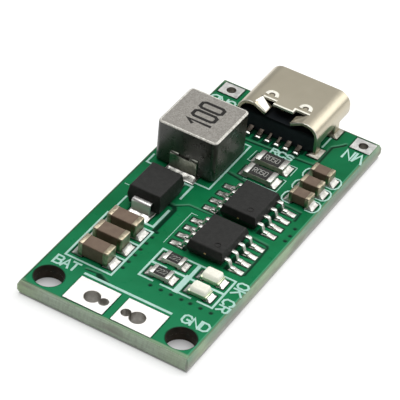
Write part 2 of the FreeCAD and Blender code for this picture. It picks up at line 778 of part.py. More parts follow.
def build():
    """Every sub-part by name, each a list of solids in place."""
    parts = {}

    def place(name, shapes, x, y, z, turn=0.0):
        parts[name] = [moved(shape, x, y, z, turn) for shape in shapes]

    usb_y = rear_edge + usb_overhang
    pads = battery_pads() + input_pads()
    board = bare_board()
    for cut in mount_holes() + leg_openings(usb_y) + [opening for _, _, opening in pads]:
        board = board.cut(cut)
    parts["circuit_board"] = [board]
    for name, pair, _ in pads:
        parts[name] = pair

    shell = usb_shell()
    contacts = usb_contacts()
    leg_solder, toe_solder = usb_solder()
    place("usb_shell", [shell], 0, usb_y, board_top)
    place("usb_housing", [usb_housing(shell, contacts)], 0, usb_y, board_top)
    place("usb_contacts", contacts, 0, usb_y, board_top)
    place("usb_leg_solder", leg_solder, 0, usb_y, board_top)
    place("usb_contact_solder", toe_solder, 0, usb_y, board_top)

    cap_x = inductor_x + output_caps_beside_inductor
    cap_rows = row_of(output_cap_count, output_cap_width, output_cap_gap,
                      battery_pad_rear + battery_pads_to_output_caps)
    core, ends = capacitor(output_cap_length, output_cap_width, output_cap_height, output_cap_end)
    solder = chip_solder(output_cap_length, output_cap_width, output_cap_height, output_cap_end,
                         output_cap_pad_reach)
    parts["output_capacitor_solder"] = []
    for number, y in enumerate(cap_rows, 1):
        place("output_capacitor_%d" % number, [core], cap_x, y, pad_top)
        place("output_capacitor_%d_ends" % number, ends, cap_x, y, pad_top)
        parts["output_capacitor_solder"] += [moved(joint, cap_x, y, board_top) for joint in solder]

    diode_y = cap_rows[-1] + output_cap_width / 2 + output_caps_to_diode + diode_half
    diode_x = inductor_x + diode_beside_inductor
    body, leads, solder = rectifier()
    place("diode_body", [body], diode_x, diode_y, pad_top, 90)
    place("diode_leads", leads, diode_x, diode_y, pad_top, 90)
    place("diode_solder", solder, diode_x, diode_y, board_top, 90)

    inductor_y = diode_y + diode_half + diode_to_inductor + inductor_half
    body, terminals, solder = power_inductor()
    place("inductor_body", [body], inductor_x, inductor_y, pad_top, 90)
    place("inductor_terminals", terminals, inductor_x, inductor_y, pad_top, 90)
    place("inductor_solder", solder, inductor_x, inductor_y, board_top, 90)

    light_rows = row_of(light_count, light_width, light_row_gap, battery_pad_rear + battery_pads_to_lights)
    base, coat, wraps = resistor(light_resistor_length, light_resistor_width, light_resistor_height,
                                 light_resistor_end)
    light_base, lens, gilt_ends = status_light()
    resistor_solder = chip_solder(light_resistor_length, light_resistor_width, light_resistor_height,
                                  light_resistor_end, light_resistor_pad_reach)
    light_solder = chip_solder(light_length, light_width, light_base_height, light_end, light_pad_reach)
    parts["light_resistor_solder"] = []
    parts["status_light_solder"] = []
    for number, y in enumerate(light_rows, 1):
        x = chip_x + light_resistors_beside_chips
        place("light_resistor_%d_base" % number, [base], x, y, pad_top)
        place("light_resistor_%d_overcoat" % number, [coat], x, y, pad_top)
        place("light_resistor_%d_ends" % number, wraps, x, y, pad_top)
        parts["light_resistor_solder"] += [moved(joint, x, y, board_top) for joint in resistor_solder]
        x = chip_x + lights_beside_chips
        place("status_light_%d_base" % number, [light_base], x, y, pad_top)
        place("status_light_%d_lens" % number, [lens], x, y, pad_top)
        place("status_light_%d_ends" % number, gilt_ends, x, y, pad_top)
        parts["status_light_solder"] += [moved(joint, x, y, board_top) for joint in light_solder]

    controller_y = light_rows[-1] + light_width / 2 + lights_to_controller + chip_length / 2
    transistor_y = controller_y + chip_length + controller_to_transistor
    body, leads, solder = chip_package()
    for name, y in (("controller", controller_y), ("transistor", transistor_y)):
        place(name + "_body", [body], chip_x, y, pad_top)
        place(name + "_leads", leads, chip_x, y, pad_top)
        place(name + "_solder", solder, chip_x, y, board_top)

    sense_rows = row_of(sense_count, sense_width, sense_gap,
                        transistor_y + chip_length / 2 + transistor_to_sense)
    base, coat, wraps = resistor(sense_length, sense_width, sense_height, sense_end)
    solder = chip_solder(sense_length, sense_width, sense_height, sense_end, sense_pad_reach)
    parts["sense_resistor_solder"] = []
    for number, y in enumerate(sense_rows, 1):
        x = chip_x + sense_resistors_beside_chips
        place("sense_resistor_%d_base" % number, [base], x, y, pad_top)
        place("sense_resistor_%d_overcoat" % number, [coat], x, y, pad_top)
        place("sense_resistor_%d_ends" % number, wraps, x, y, pad_top)
        parts["sense_resistor_solder"] += [moved(joint, x, y, board_top) for joint in solder]

    cap_rows = row_of(input_cap_count, input_cap_width, input_cap_gap,
                      transistor_y + chip_length / 2 + transistor_to_input_caps)
    core, ends = capacitor(input_cap_length, input_cap_width, input_cap_height, input_cap_end)
    solder = chip_solder(input_cap_length, input_cap_width, input_cap_height, input_cap_end,
                         input_cap_pad_reach)
    parts["input_capacitor_solder"] = []
    for number, y in enumerate(cap_rows, 1):
        x = chip_x + input_caps_beside_chips
        place("input_capacitor_%d" % number, [core], x, y, pad_top)
        place("input_capacitor_%d_ends" % number, ends, x, y, pad_top)
        parts["input_capacitor_solder"] += [moved(joint, x, y, board_top) for joint in solder]
    return parts


def write(parts):
    """Write each sub-part to a file of its own."""
    os.makedirs("parts", exist_ok=True)
    for name, solids in parts.items():
        shape = solids[0] if len(solids) == 1 else Part.makeCompound(solids)
        shape.exportStep(os.path.join("parts", name + ".step"))


write(build())
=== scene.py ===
import math

import bmesh
import bpy
import numpy as np
from mathutils import Matrix, Vector, noise


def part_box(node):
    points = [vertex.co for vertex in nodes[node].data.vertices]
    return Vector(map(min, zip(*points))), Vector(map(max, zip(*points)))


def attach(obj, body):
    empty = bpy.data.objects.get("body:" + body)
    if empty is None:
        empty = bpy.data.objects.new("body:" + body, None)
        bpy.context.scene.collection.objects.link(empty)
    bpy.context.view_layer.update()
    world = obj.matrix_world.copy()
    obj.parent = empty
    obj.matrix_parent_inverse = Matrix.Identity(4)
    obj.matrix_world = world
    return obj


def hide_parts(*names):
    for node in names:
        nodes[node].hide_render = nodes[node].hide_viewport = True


# Looks of a lithium battery charger module, laid over its CAD model.
# Sizes and places are in millimetres in the CAD frame, and meshes are scaled to metres at their end.

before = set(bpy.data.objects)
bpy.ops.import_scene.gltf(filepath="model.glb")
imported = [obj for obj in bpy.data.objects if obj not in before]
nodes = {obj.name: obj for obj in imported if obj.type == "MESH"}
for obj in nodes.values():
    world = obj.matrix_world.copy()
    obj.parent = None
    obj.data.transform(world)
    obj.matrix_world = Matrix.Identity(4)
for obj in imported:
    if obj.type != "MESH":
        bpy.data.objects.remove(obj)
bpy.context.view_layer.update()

MM = 0.001

# Heights of the board's faces under the mask, of its pads and of the printing
BOARD_TOP = 1.6
BOARD_UNDER = 0.03
PAD_TOP = 1.65
INK_TOP = 1.618

# Half the size of the board's faces, and the snapped groove around its edge
HALF_WIDTH = 8.8
HALF_LENGTH = 18.25
GROOVE_HALF_WIDTH = 0.2
GROOVE_DEPTH = 0.5

# How far the mask lies lower beside copper, and in a filled via, than over copper
MASK_DROP = 0.035
VIA_DROP = 0.05

# The upper face of the insulator's ledge inside the receptacle's shell
LEDGE_TOP = 3.3


def box_of(node):
    """Lowest and highest corner of a CAD node in millimetres."""
    low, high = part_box(node)
    return low / MM, high / MM


def placed(name, data):
    """A new object in the scene."""
    made = bpy.data.objects.new(name, data)
    bpy.context.scene.collection.objects.link(made)
    return made


# Camera

def photo_camera():
    """The camera as the photograph was taken: a long lens, from the front right and above."""
    data = bpy.data.cameras.new("camera")
    data.sensor_width = 36
    data.lens = 208.14
    data.clip_start = 0.01
    data.clip_end = 5
    camera = placed("camera", data)
    place = Vector((74.587, -147.205, 142.824)) * MM
    right = Vector((0.85615518, 0.5111605, 0.07558607))
    up = Vector((-0.38219287, 0.52800104, 0.75838217))
    back = Vector((0.34775, -0.67818, 0.64741)).normalized()
    turn = Matrix((right, up, back)).transposed().to_4x4()
    camera.matrix_world = Matrix.Translation(place) @ turn
    bpy.context.scene.camera = camera


photo_camera()


# Materials

class Shader:
    """A node material with short ways to add and link nodes."""

    def __init__(self, name):
        self.material = bpy.data.materials.new(name)
        self.material.use_nodes = True
        self.tree = self.material.node_tree
        self.shader = self.tree.nodes["Principled BSDF"]
        self.place = None

    def add(self, kind, **inputs):
        node = self.tree.nodes.new("ShaderNode" + kind)
        for key, value in inputs.items():
            name = key.replace("_", " ")
            if name in node.inputs:
                node.inputs[name].default_value = value
            else:
                setattr(node, key, value)
        return node

    def link(self, output, target):
        self.tree.links.new(output, target)

    def coordinates(self):
        if self.place is None:
            self.place = self.add("TexCoord").outputs["Object"]
        return self.place

    def axis(self, name):
        split = self.add("SeparateXYZ")
        self.link(self.coordinates(), split.inputs["Vector"])
        return split.outputs[name]

    def along(self, axis, low, high, low_at, high_at):
        """A value from low to high between two places in millimetres along an axis."""
        return self.spread(self.axis(axis), low, high, low_at * MM, high_at * MM)

    def set(self, **values):
        for key, value in values.items():
            self.shader.inputs[key.replace("_", " ")].default_value = value

    def noise(self, scale, detail=3.0, stretch=None):
        """Noise with about scale lumps to the millimetre."""
        node = self.add("TexNoise", Scale=scale / MM, Detail=detail, Roughness=0.55)
        source = self.coordinates()
        if stretch:
            mapping = self.add("Mapping", Scale=stretch)
            self.link(source, mapping.inputs["Vector"])
            source = mapping.outputs["Vector"]
        self.link(source, node.inputs["Vector"])
        return node.outputs["Fac"]

    def spread(self, value, low, high, low_at=0.3, high_at=0.7):
        """Maps a value between low_at and high_at to low and high."""
        node = self.add("MapRange", From_Min=low_at, From_Max=high_at, To_Min=low, To_Max=high)
        self.link(value, node.inputs["Value"])
        return node.outputs["Result"]

    def patches(self, scale, low=0, high=1, low_at=0.3, high_at=0.7, detail=3.0):
        """Noise that is mapped to low and high."""
        return self.spread(self.noise(scale, detail), low, high, low_at, high_at)

    def blend(self, factor, first, second):
        """A colour between two colours or colour sockets."""
        node = self.add("Mix", data_type="RGBA")
        self.link(factor, node.inputs["Factor"])
        for socket, colour in ((node.inputs[6], first), (node.inputs[7], second)):
            if isinstance(colour, tuple):
                socket.default_value = (*colour, 1)
            else:
                self.link(colour, socket)
        return node.outputs[2]

    def calc(self, operation, *values):
        """What a calculation on sockets or numbers gives."""
        node = self.add("Math", operation=operation)
        for socket, value in zip(node.inputs, values):
            if isinstance(value, float):
                socket.default_value = value
            else:
                self.link(value, socket)
        return node.outputs[0]

    def bump(self, height, distance):
        """Bump of a height from 0 to 1 that stands for a distance in millimetres."""
        node = self.add("Bump", Strength=1.0, Distance=distance * MM)
        self.link(height, node.inputs["Height"])
        previous = self.shader.inputs["Normal"]
        if previous.is_linked:
            self.link(previous.links[0].from_socket, node.inputs["Normal"])
        self.link(node.outputs["Normal"], previous)

    def finish(self, tone, rough, **values):
        """Links the colour and the roughness, and sets other values."""
        self.link(tone, self.shader.inputs["Base Color"])
        self.link(rough, self.shader.inputs["Roughness"])
        self.set(**values)
        return self


def two_tone(name, first, second, scale, rough_low, rough_high, bump_scale, bump_height, specular):
    """A material whose colour wanders between two tones, with uneven roughness and a fine bump."""
    made = Shader(name)
    tone = made.blend(made.patches(scale), first, second)
    rough = made.patches(scale * 2.3, rough_low, rough_high)
    made.bump(made.noise(bump_scale, 4), bump_height)
    return made.finish(tone, rough, Specular_IOR_Level=specular)


def mask_material():
    """Green solder mask: lighter over copper, dark beside it and nearly black in filled vias. Painted
    light makes it lighter towards the front, and painted shade darker towards the back.

    The layer board_marks has copper in red, vias in green, bare laminate in blue, and in alpha a
    painted highlight on the copper edges that face the light.
    """
    made = Shader("solder_mask")
    marks = made.add("VertexColor", layer_name="board_marks")
    split = made.add("SeparateColor")
    made.link(marks.outputs["Color"], split.inputs["Color"])
    wander = made.patches(0.35)
    over_copper = made.blend(wander, (0.005, 0.165, 0.055), (0.008, 0.215, 0.078))
    over_laminate = made.blend(wander, (0.002, 0.03, 0.014), (0.004, 0.042, 0.02))
    # Painted light and shade: lighter towards the front, darker towards the back among the tall parts
    over_copper = made.blend(made.along("Y", 0.6, 0, -16, -8), over_copper, (0.02, 0.25, 0.11))
    over_copper = made.blend(made.along("Y", 0, 0.35, 0, 9), over_copper, (0.005, 0.11, 0.045))
    tone = made.blend(split.outputs["Red"], over_laminate, over_copper)
    # Painted highlight: the copper edges that face the light are lighter
    tone = made.blend(marks.outputs["Alpha"], tone, (0.1, 0.36, 0.2))
    # Painted highlight: a narrow lighter band on the mask just inside the right edge
    rim = made.blend(made.along("X", 0, 0.55, 8.48, 8.54), tone, (0.12, 0.45, 0.26))
    tone = made.blend(made.along("X", 0, 1, 8.6, 8.66), rim, tone)
    tone = made.blend(split.outputs["Green"], tone, (0.003, 0.03, 0.017))
    tone = made.blend(split.outputs["Blue"], tone, (0.3, 0.42, 0.27))
    made.bump(made.noise(0.8, 2), 0.006)
    made.bump(made.noise(5, 2), 0.0012)
    return made.finish(tone, made.patches(1.1, 0.26, 0.38), Specular_IOR_Level=0.07)


def laminate_material():
    """The snapped edge of glass-epoxy laminate: thin level layers with torn fibres and dark patches.

    Painted light and shade: the right side is painted light at its foot and darker and greener towards
    its top, and the left end is painted lighter.
    """
    made = Shader("laminate_edge")
    layers = made.noise(1.4, 4, stretch=(0.35, 0.35, 7))
    fibres = made.noise(2.6, 3, stretch=(1.6, 1.6, 0.4))
    tone = made.blend(made.spread(layers, 0, 1), (0.54, 0.66, 0.5), (0.76, 0.9, 0.72))
    # Painted light and shade on the right side: light at its foot, darker and greener towards its top
    right_side_painted_light = made.blend(made.along("Z", 0, 1, 0.1, 0.8), (0.88, 0.85, 0.83), (0.42, 0.42, 0.38))
    right_side_painted_light = made.blend(made.along("Z", 0, 1, 0.9, 1.5), right_side_painted_light, (0.2, 0.39, 0.28))
    tone = made.blend(made.along("X", 0, 0.88, 8.72, 8.8), tone, right_side_painted_light)
    tone = made.blend(made.spread(fibres, 0, 0.5, 0.45, 0.75), tone, (0.42, 0.48, 0.38))
    tone = made.blend(made.patches(0.16, 0, 0.5, 0.5, 0.7, detail=2), tone, (0.62, 0.78, 0.48))
    # Painted light: the left end is lighter
    tone = made.blend(made.along("X", 0.7, 0, -9, -6), tone, (0.66, 0.86, 0.5))
    scorch = made.noise(0.42, 2, stretch=(0.6, 0.6, 2.2))
    tone = made.blend(made.spread(scorch, 0, 0.6, 0.5, 0.66), tone, (0.34, 0.33, 0.28))
    made.bump(layers, 0.03)
    made.bump(fibres, 0.02)
    return made.finish(tone, made.spread(layers, 0.5, 0.75), Specular_IOR_Level=0.3)


def tin_material(name, tone, dull, rough_low, rough_high, height):
    """Tin or solder: bright metal with soft dull patches and small ripples."""
    made = Shader(name)
    made.bump(made.noise(1.9, 2), height)
    made.bump(made.noise(9, 2), height * 0.2)
    tone = made.blend(made.patches(1.6), tone, dull)
    return made.finish(tone, made.patches(2.2, rough_low, rough_high, detail=2), Metallic=1.0)


def pressed_iron():
    """Pressed iron powder: coarse grains between two warm greys, with a few bright specks."""
    made = Shader("pressed_iron")
    grains = made.add("TexVoronoi", Scale=9 / MM)
    made.link(made.coordinates(), grains.inputs["Vector"])
    grain = made.add("SeparateColor")
    made.link(grains.outputs["Color"], grain.inputs["Color"])
    tone = made.blend(grain.outputs["Red"], (0.25, 0.235, 0.21), (0.42, 0.4, 0.365))
    tone = made.blend(made.patches(0.45, 0, 0.4), tone, (0.26, 0.245, 0.22))
    tone = made.blend(made.patches(5, 0, 0.7, 0.64, 0.74), tone, (0.55, 0.53, 0.48))
    made.bump(made.noise(7, 4), 0.022)
    made.bump(made.noise(0.6, 2), 0.03)
    return made.finish(tone, made.patches(3, 0.36, 0.5), Metallic=0.3)


def lacquered_iron():
    """The glossy pressed sides of the inductor, with faint upright wipe marks."""
    made = Shader("lacquered_iron")
    wipes = made.noise(2.5, 3, stretch=(1, 1, 0.12))
    tone = made.blend(made.spread(wipes, 0, 1), (0.02, 0.021, 0.015), (0.042, 0.041, 0.03))
    tone = made.blend(made.patches(8, 0, 0.4, 0.6, 0.75), tone, (0.09, 0.087, 0.068))
    made.bump(wipes, 0.003)
    made.bump(made.noise(0.8, 2), 0.018)
    return made.finish(tone, made.patches(1.2, 0.24, 0.36), Specular_IOR_Level=0.75)


def shell_material():
    """Nickel-plated drawn steel: satin, with very faint draw lines along Y and small blemishes."""
    made = Shader("shell_steel")
    lines = made.noise(2.4, 4, stretch=(5, 0.2, 5))
    tone = made.blend(made.patches(0.25), (0.53, 0.48, 0.365), (0.6, 0.55, 0.43))
    made.bump(made.noise(0.3, 2), 0.012)
    return made.finish(tone, made.spread(lines, 0.29, 0.315), Metallic=1.0)


def insulator_material():
    """The receptacle's fine black insulator, with painted shade that darkens it on the ledge inside the
    shell.
    """
    made = Shader("black_insulator")
    tone = made.blend(made.patches(1.2), (0.03, 0.037, 0.043), (0.042, 0.051, 0.059))
    # Painted shade inside the shell, from the ledge's top upward
    painted_ledge_shade = made.along("Z", 0, 0.8, LEDGE_TOP, LEDGE_TOP + 0.3)
    tone = made.blend(painted_ledge_shade, tone, (0.004, 0.005, 0.006))
    made.bump(made.noise(8, 4), 0.006)
    return made.finish(tone, made.patches(2.8, 0.4, 0.55), Specular_IOR_Level=0.06)


# Metals: a bright and a dull tone, roughness from and to, and the height of the ripples
METALS = {
    "pad_tin": ((0.95, 0.94, 0.92), (0.88, 0.87, 0.84), 0.42, 0.55, 0.012),
    # Near-white metal for bright edges, rims and the left flap: a painted highlight
    "painted_highlight_metal": ((0.97, 0.95, 0.86), (0.88, 0.86, 0.76), 0.44, 0.56, 0.004),
    # Tin down the holes, darkened: painted shade
    "barrel_tin_painted_shade": ((0.62, 0.6, 0.56), (0.42, 0.4, 0.36), 0.35, 0.5, 0.012),
    "dull_tin": ((0.78, 0.78, 0.75), (0.55, 0.55, 0.53), 0.33, 0.48, 0.012),
    "solder": ((0.88, 0.87, 0.83), (0.66, 0.65, 0.61), 0.2, 0.38, 0.018),
    "patchy_solder": ((0.86, 0.85, 0.8), (0.46, 0.45, 0.41), 0.34, 0.5, 0.03),
    "dull_solder": ((0.5, 0.48, 0.42), (0.2, 0.19, 0.155), 0.3, 0.45, 0.02),
    "lead_tin": ((0.84, 0.83, 0.79), (0.68, 0.67, 0.62), 0.25, 0.42, 0.008),
    "terminal_tin": ((0.34, 0.35, 0.31), (0.2, 0.21, 0.17), 0.26, 0.4, 0.02),
    "end_tin": ((0.62, 0.54, 0.4), (0.27, 0.235, 0.16), 0.28, 0.4, 0.02),
    "wrap_tin": ((0.74, 0.73, 0.69), (0.52, 0.51, 0.47), 0.3, 0.42, 0.012),
    "gilt": ((0.8, 0.82, 0.62), (0.5, 0.64, 0.42), 0.3, 0.45, 0.006),
    "copper": ((0.72, 0.45, 0.22), (0.5, 0.3, 0.15), 0.35, 0.5, 0.006),
    "contact": ((0.22, 0.185, 0.155), (0.12, 0.1, 0.082), 0.35, 0.5, 0.006),
}

# Other materials: two tones, the scale of their patches, roughness from and to, the scale and the
# height of the bumps, and the specular level
COATS = {
    # Near-black walls of the holes: the laminate painted in shade
    "hole_wall_painted_shade": ((0.02, 0.021, 0.012), (0.05, 0.035, 0.02), 1.2, 0.5, 0.7, 4, 0.02, 0.2),
    "board_ink": ((0.42, 0.7, 0.6), (0.55, 0.8, 0.72), 1.5, 0.5, 0.65, 6, 0.006, 0.2),
    # A near-white band for the inductor's rim and sloping faces: a painted highlight
    "worn_rim": ((0.52, 0.505, 0.45), (1.0, 0.98, 0.9), 3.5, 0.4, 0.55, 9, 0.012, 0.5),
    "black_moulding": ((0.018, 0.018, 0.017), (0.027, 0.027, 0.025), 2.2, 0.45, 0.6, 14, 0.012, 0.22),
    "capacitor_ceramic": ((0.157, 0.105, 0.072), (0.196, 0.137, 0.094), 1.4, 0.4, 0.52, 9, 0.008, 0.35),
    "alumina": ((0.78, 0.74, 0.66), (0.9, 0.86, 0.78), 1.5, 0.5, 0.62, 9, 0.01, 0.3),
    # Alumina darkened to olive on the sense resistors: painted shade
    "sense_base": ((0.34, 0.36, 0.28), (0.46, 0.47, 0.38), 1.5, 0.5, 0.62, 9, 0.01, 0.3),
    "overcoat": ((0.02, 0.02, 0.018), (0.034, 0.033, 0.03), 1.2, 0.36, 0.48, 5, 0.006, 0.25),
    "part_mark": ((0.36, 0.36, 0.33), (0.48, 0.48, 0.44), 3, 0.5, 0.6, 8, 0.004, 0.5),
    "dark_mark": ((0.012, 0.011, 0.01), (0.028, 0.026, 0.024), 3, 0.5, 0.6, 8, 0.004, 0.2),
    "light_base": ((0.22, 0.62, 0.3), (0.75, 0.78, 0.62), 0.9, 0.4, 0.55, 8, 0.006, 0.3),
    "light_lens": ((0.53, 0.51, 0.42), (0.61, 0.6, 0.53), 1.0, 0.2, 0.34, 2, 0.02, 0.6),
}

MATERIALS = {name: tin_material(name, *look) for name, look in METALS.items()}
MATERIALS.update({name: two_tone(name, *look) for name, look in COATS.items()})
MATERIALS.update(mask=mask_material(), laminate=laminate_material(), shell=shell_material(),
                 iron=pressed_iron(), iron_side=lacquered_iron(), insulator=insulator_material())

# The rim is half metallic: a painted highlight
MATERIALS["worn_rim"].set(Metallic=0.4)
# The lens glows faintly, though it is no lamp: painted light
MATERIALS["light_lens"].set(Emission_Color=(1, 1, 0.88, 1), Emission_Strength=0.42)


# Pieces

# CAD edges sharper than this many degrees are rounded
SOFT_EDGE_ANGLE = 35

# The band inside the top face, painted as a highlight, of a shape whose faces have materials of their
# own
RIM_WIDTH = 0.1


def mesh_in_metres(name, bm):
    bmesh.ops.scale(bm, vec=(MM, MM, MM), verts=bm.verts)
    mesh = bpy.data.meshes.new(name)
    bm.to_mesh(mesh)
    bm.free()
    return mesh


def new_piece(name, bm, materials, slot, replaced=(), sharp=42):
    """A piece from a mesh in millimetres, smooth but for edges sharper than some degrees."""
    mesh = mesh_in_metres(name, bm)
    mesh.polygons.foreach_set("use_smooth", [True] * len(mesh.polygons))
    mesh.set_sharp_from_angle(angle=math.radians(sharp))
    for material in materials:
        mesh.materials.append(MATERIALS[material].material)
    piece = placed(name, mesh)
    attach(piece, "root")
    if replaced:
        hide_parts(*replaced)
    return piece


def drawn_piece(name, bm, *looks, **more):
    """A new piece whose faces are turned outward first."""
    bmesh.ops.recalc_face_normals(bm, faces=bm.faces)
    new_piece(name, bm, *looks, **more)


def node_mesh(node):
    """A CAD node's mesh in millimetres with its shared corners joined."""
    bm = bmesh.new()
    bm.from_mesh(nodes[node].data)
    bmesh.ops.scale(bm, vec=(1 / MM, 1 / MM, 1 / MM), verts=bm.verts)
    bmesh.ops.remove_doubles(bm, verts=bm.verts, dist=1e-4)
    for layer in list(bm.loops.layers.uv):
        bm.loops.layers.uv.remove(layer)
    for face in bm.faces:
        face.material_index = 0
    return bm


def join_loops(bm, loops, spans):
    """Faces between neighbouring loops of corners, for a number of spans along them."""
    count = len(loops[0])
    for i in range(spans):
        j = (i + 1) % count
        for first, second in zip(loops, loops[1:]):
            bm.faces.new([first[i], first[j], second[j], second[i]])


def facing(face):
    """0 for a face that looks up, 1 for one that slopes and 2 for one that stands upright."""
    if face.normal.z > 0.93:
        return 0
    return 1 if face.normal.z > 0.25 else 2


def softened(node, width, material, slot, rim_material=None, side_material=None):
    """A CAD node's shape with its sharp edges rounded by a width.

    Sloping faces and faces that stand upright can have materials of their own.
    """
    bm = node_mesh(node)
    bmesh.ops.dissolve_limit(bm, angle_limit=math.radians(0.5), verts=bm.verts, edges=bm.edges)
    edges = [edge for edge in bm.edges
             if len(edge.link_faces) == 2 and edge.calc_face_angle(0) > math.radians(SOFT_EDGE_ANGLE)]
    bmesh.ops.bevel(bm, geom=edges, offset=width, segments=2, profile=0.5, affect="EDGES",
                    clamp_overlap=True)
    materials = [material]
    if side_material:
        materials += [rim_material, side_material]
        # Sloping faces take the rim's material, and so does a band inside the top face below; on the
        # inductor this paints a highlight
        for face in bm.faces:
            face.material_index = facing(face)
        top = max(bm.faces, key=lambda face: face.calc_area() * face.normal.z)
        for face in bmesh.ops.inset_region(bm, faces=[top], thickness=RIM_WIDTH)["faces"]:
            face.material_index = 1
    piece = new_piece(node + "_dressed", bm, materials, slot, [node])
    weighted = piece.modifiers.new("weighted", "WEIGHTED_NORMAL")
    weighted.keep_sharp = True
    return piece


def components(node):
    """The separate solids of a CAD node, each as a list of corner places in millimetres."""
    bm = node_mesh(node)
    left = set(bm.verts)
    found = []
    while left:
        start = left.pop()
        group, stack = [start], [start]
        while stack:
            for edge in stack.pop().link_edges:
                for vert in edge.verts:
                    if vert in left:
                        left.remove(vert)
                        group.append(vert)
                        stack.append(vert)
        found.append([vert.co.copy() for vert in group])
    bm.free()
    return sorted(found, key=lambda group: [round(v, 3) for v in sum(group, Vector()) / len(group)])


def bounds_of(points):
    low = Vector([min(p[i] for p in points) for i in range(3)])
    high = Vector([max(p[i] for p in points) for i in range(3)])
    return low, high


# Solder

# The solder nodes, the share of the CAD fillet's height that their fillets climb, and their finish
JOINTS = {
    "output_capacitor_solder": (0.5, "patchy_solder"),
    "input_capacitor_solder": (0.5, "patchy_solder"),
    "sense_resistor_solder": (0.5, "patchy_solder"),
    "light_resistor_solder": (0.5, "patchy_solder"),
    "status_light_solder": (1, "solder"),
    "controller_solder": (0.6, "patchy_solder"),
    "transistor_solder": (0.6, "patchy_solder"),
    "diode_solder": (0.25, "lead_tin"),
    "inductor_solder": (0.25, "lead_tin"),
    "usb_contact_solder": (0.5, "lead_tin"),
}

# How far inside their pads the gull-wing joints end, and the receptacle's
HEEL_CUT = 0.3
TOE_CUT = 0.38

# A joint's sheet: its grid's step, its thickness at the rim and its swell, and how deep it is sunk
JOINT_STEP = 0.07
JOINT_SKIN = 0.05
JOINT_SWELL = 0.035
JOINT_SUNK = 0.02


def joint_grid(bm, low, high, face, reach, across_x, rise, width):
    """One joint: a pad's rounded sheet of solder that climbs to a crest at the part's end face.

    face is the end face's place along the joint and reach the signed way from it to the pad's end.
    """
    along = (low.x, high.x) if across_x else (low.y, high.y)
    side = (low.y, high.y) if across_x else (low.x, high.x)
    count_a = max(8, round((along[1] - along[0]) / JOINT_STEP))
    count_s = max(6, round((side[1] - side[0]) / JOINT_STEP))
    middle = (side[0] + side[1]) / 2
    half = (side[1] - side[0]) / 2
    crest_half = width / 2
    rows = []
    for i in range(count_a + 1):
        a = along[0] + (along[1] - along[0]) * i / count_a
        row = []
        for k in range(count_s + 1):
            s = side[0] + (side[1] - side[0]) * k / count_s
            edge_gap = min(a - along[0], along[1] - a, s - side[0], side[1] - s)
            skin = JOINT_SKIN * min(1, edge_gap / 0.07) ** 0.5
            out = (a - face) / reach
            aside = max(0, abs(s - middle) - crest_half) / max(0.05, half - crest_half + 0.02)
            climb = max(0, 1 - max(0, out)) ** 2.4 * max(0, 1 - aside) ** 1.6
            if out < 0:
                climb *= 0.35 * max(0, 1 + out * 3)
            wobble = noise.noise(Vector((a * 2.1, s * 2.1, low.z + face)))
            swell = JOINT_SWELL * min(1, edge_gap / 0.25) * (0.6 + 0.6 * wobble)
            z = BOARD_TOP - JOINT_SUNK + skin + swell + rise * climb * (1 + 0.12 * wobble)
            place = Vector((a, s, z)) if across_x else Vector((s, a, z))
            row.append(bm.verts.new(place))
        rows.append(row)
    for i in range(count_a):
        for k in range(count_s):
            quad = [rows[i][k], rows[i + 1][k], rows[i + 1][k + 1], rows[i][k + 1]]
            bm.faces.new(quad if across_x else quad[::-1])
    close_underneath(bm, rows, BOARD_TOP - 2 * JOINT_SUNK)


def close_underneath(bm, rows, z):
    """Closes a sheet of rows of corners with walls down to z and a flat face."""
    ring = ([row[0] for row in rows] + rows[-1][1:-1] + [row[-1] for row in rows[::-1]]
            + rows[0][-2:0:-1])
    lower = [bm.verts.new((v.co.x, v.co.y, z)) for v in ring]
    join_loops(bm, [ring, lower], len(ring))
    bm.faces.new(lower)


def joint_direction(points, face, axis):
    """1 if a joint's slope falls towards plus, or -1 if it falls towards minus."""
    slope = [p[axis] for p in points if p.z > PAD_TOP + 0.01]
    return 1 if sum(slope) / len(slope) > face else -1


def solder_piece(node, share, finish):
    """All the joints of one solder node, each laid over its CAD pad.

    The receptacle's joints stop short of their pads' ends, and the gull-wing leads' under the heels.
    """
    bm = bmesh.new()
    for points in components(node):
        low, high = bounds_of(points)
        if node == "usb_contact_solder":
            low.y += TOE_CUT
        crest = [p for p in points if p.z > high.z - 1e-3]
        crest_low, crest_high = bounds_of(crest)
        across_x = crest_high.x - crest_low.x < crest_high.y - crest_low.y
        axis = 0 if across_x else 1
        face = (crest_low[axis] + crest_high[axis]) / 2
        width = crest_high[1 - axis] - crest_low[1 - axis]
        outer, inner = (high, low) if joint_direction(points, face, axis) > 0 else (low, high)
        reach = outer[axis] - face
        if node in ("controller_solder", "transistor_solder"):
            inner[axis] += math.copysign(HEEL_CUT, reach)
        joint_grid(bm, low, high, face, reach, across_x, (high.z - PAD_TOP) * share, width)
    drawn_piece(node + "_joints", bm, [finish], "solder", [node], sharp=70)


for node, (share, finish) in JOINTS.items():
    solder_piece(node, share, finish)


# Board

# Holes as circles with a centre and a radius. A plated hole is one circle, or the two of a keyhole.
PLATING = 0.03
PLAIN_HOLES = [(-7.0, -16.33, 1.45), (7.0, -16.33, 1.45)]
PLATED_HOLES = [[(-2.28, -16.43, 0.8), (-1.08, -16.43, 0.5)],
                [(2.48, -16.43, 0.8), (1.28, -16.43, 0.5)],
                [(-7.35, 17.07, 0.5)],
                [(7.64, 17.07, 0.5)]]
HOLES = PLAIN_HOLES + [(x, y, radius + PLATING) for circles in PLATED_HOLES for x, y, radius in circles]

# Filled vias: beside the output capacitors, before the status lights and beside the transistor
VIAS = ([(-2.16, y) for y in (-5.6, -6.43, -7.44, -8.47, -9.44, -10.53, -11.52)]
        + [(x, -12.05) for x in (1.12, 2.24, 3.3, 4.4, 5.34, 6.4, 7.5)]
        + [(8.11, 2.39), (8.21, 1.24), (8.17, 0.36)])

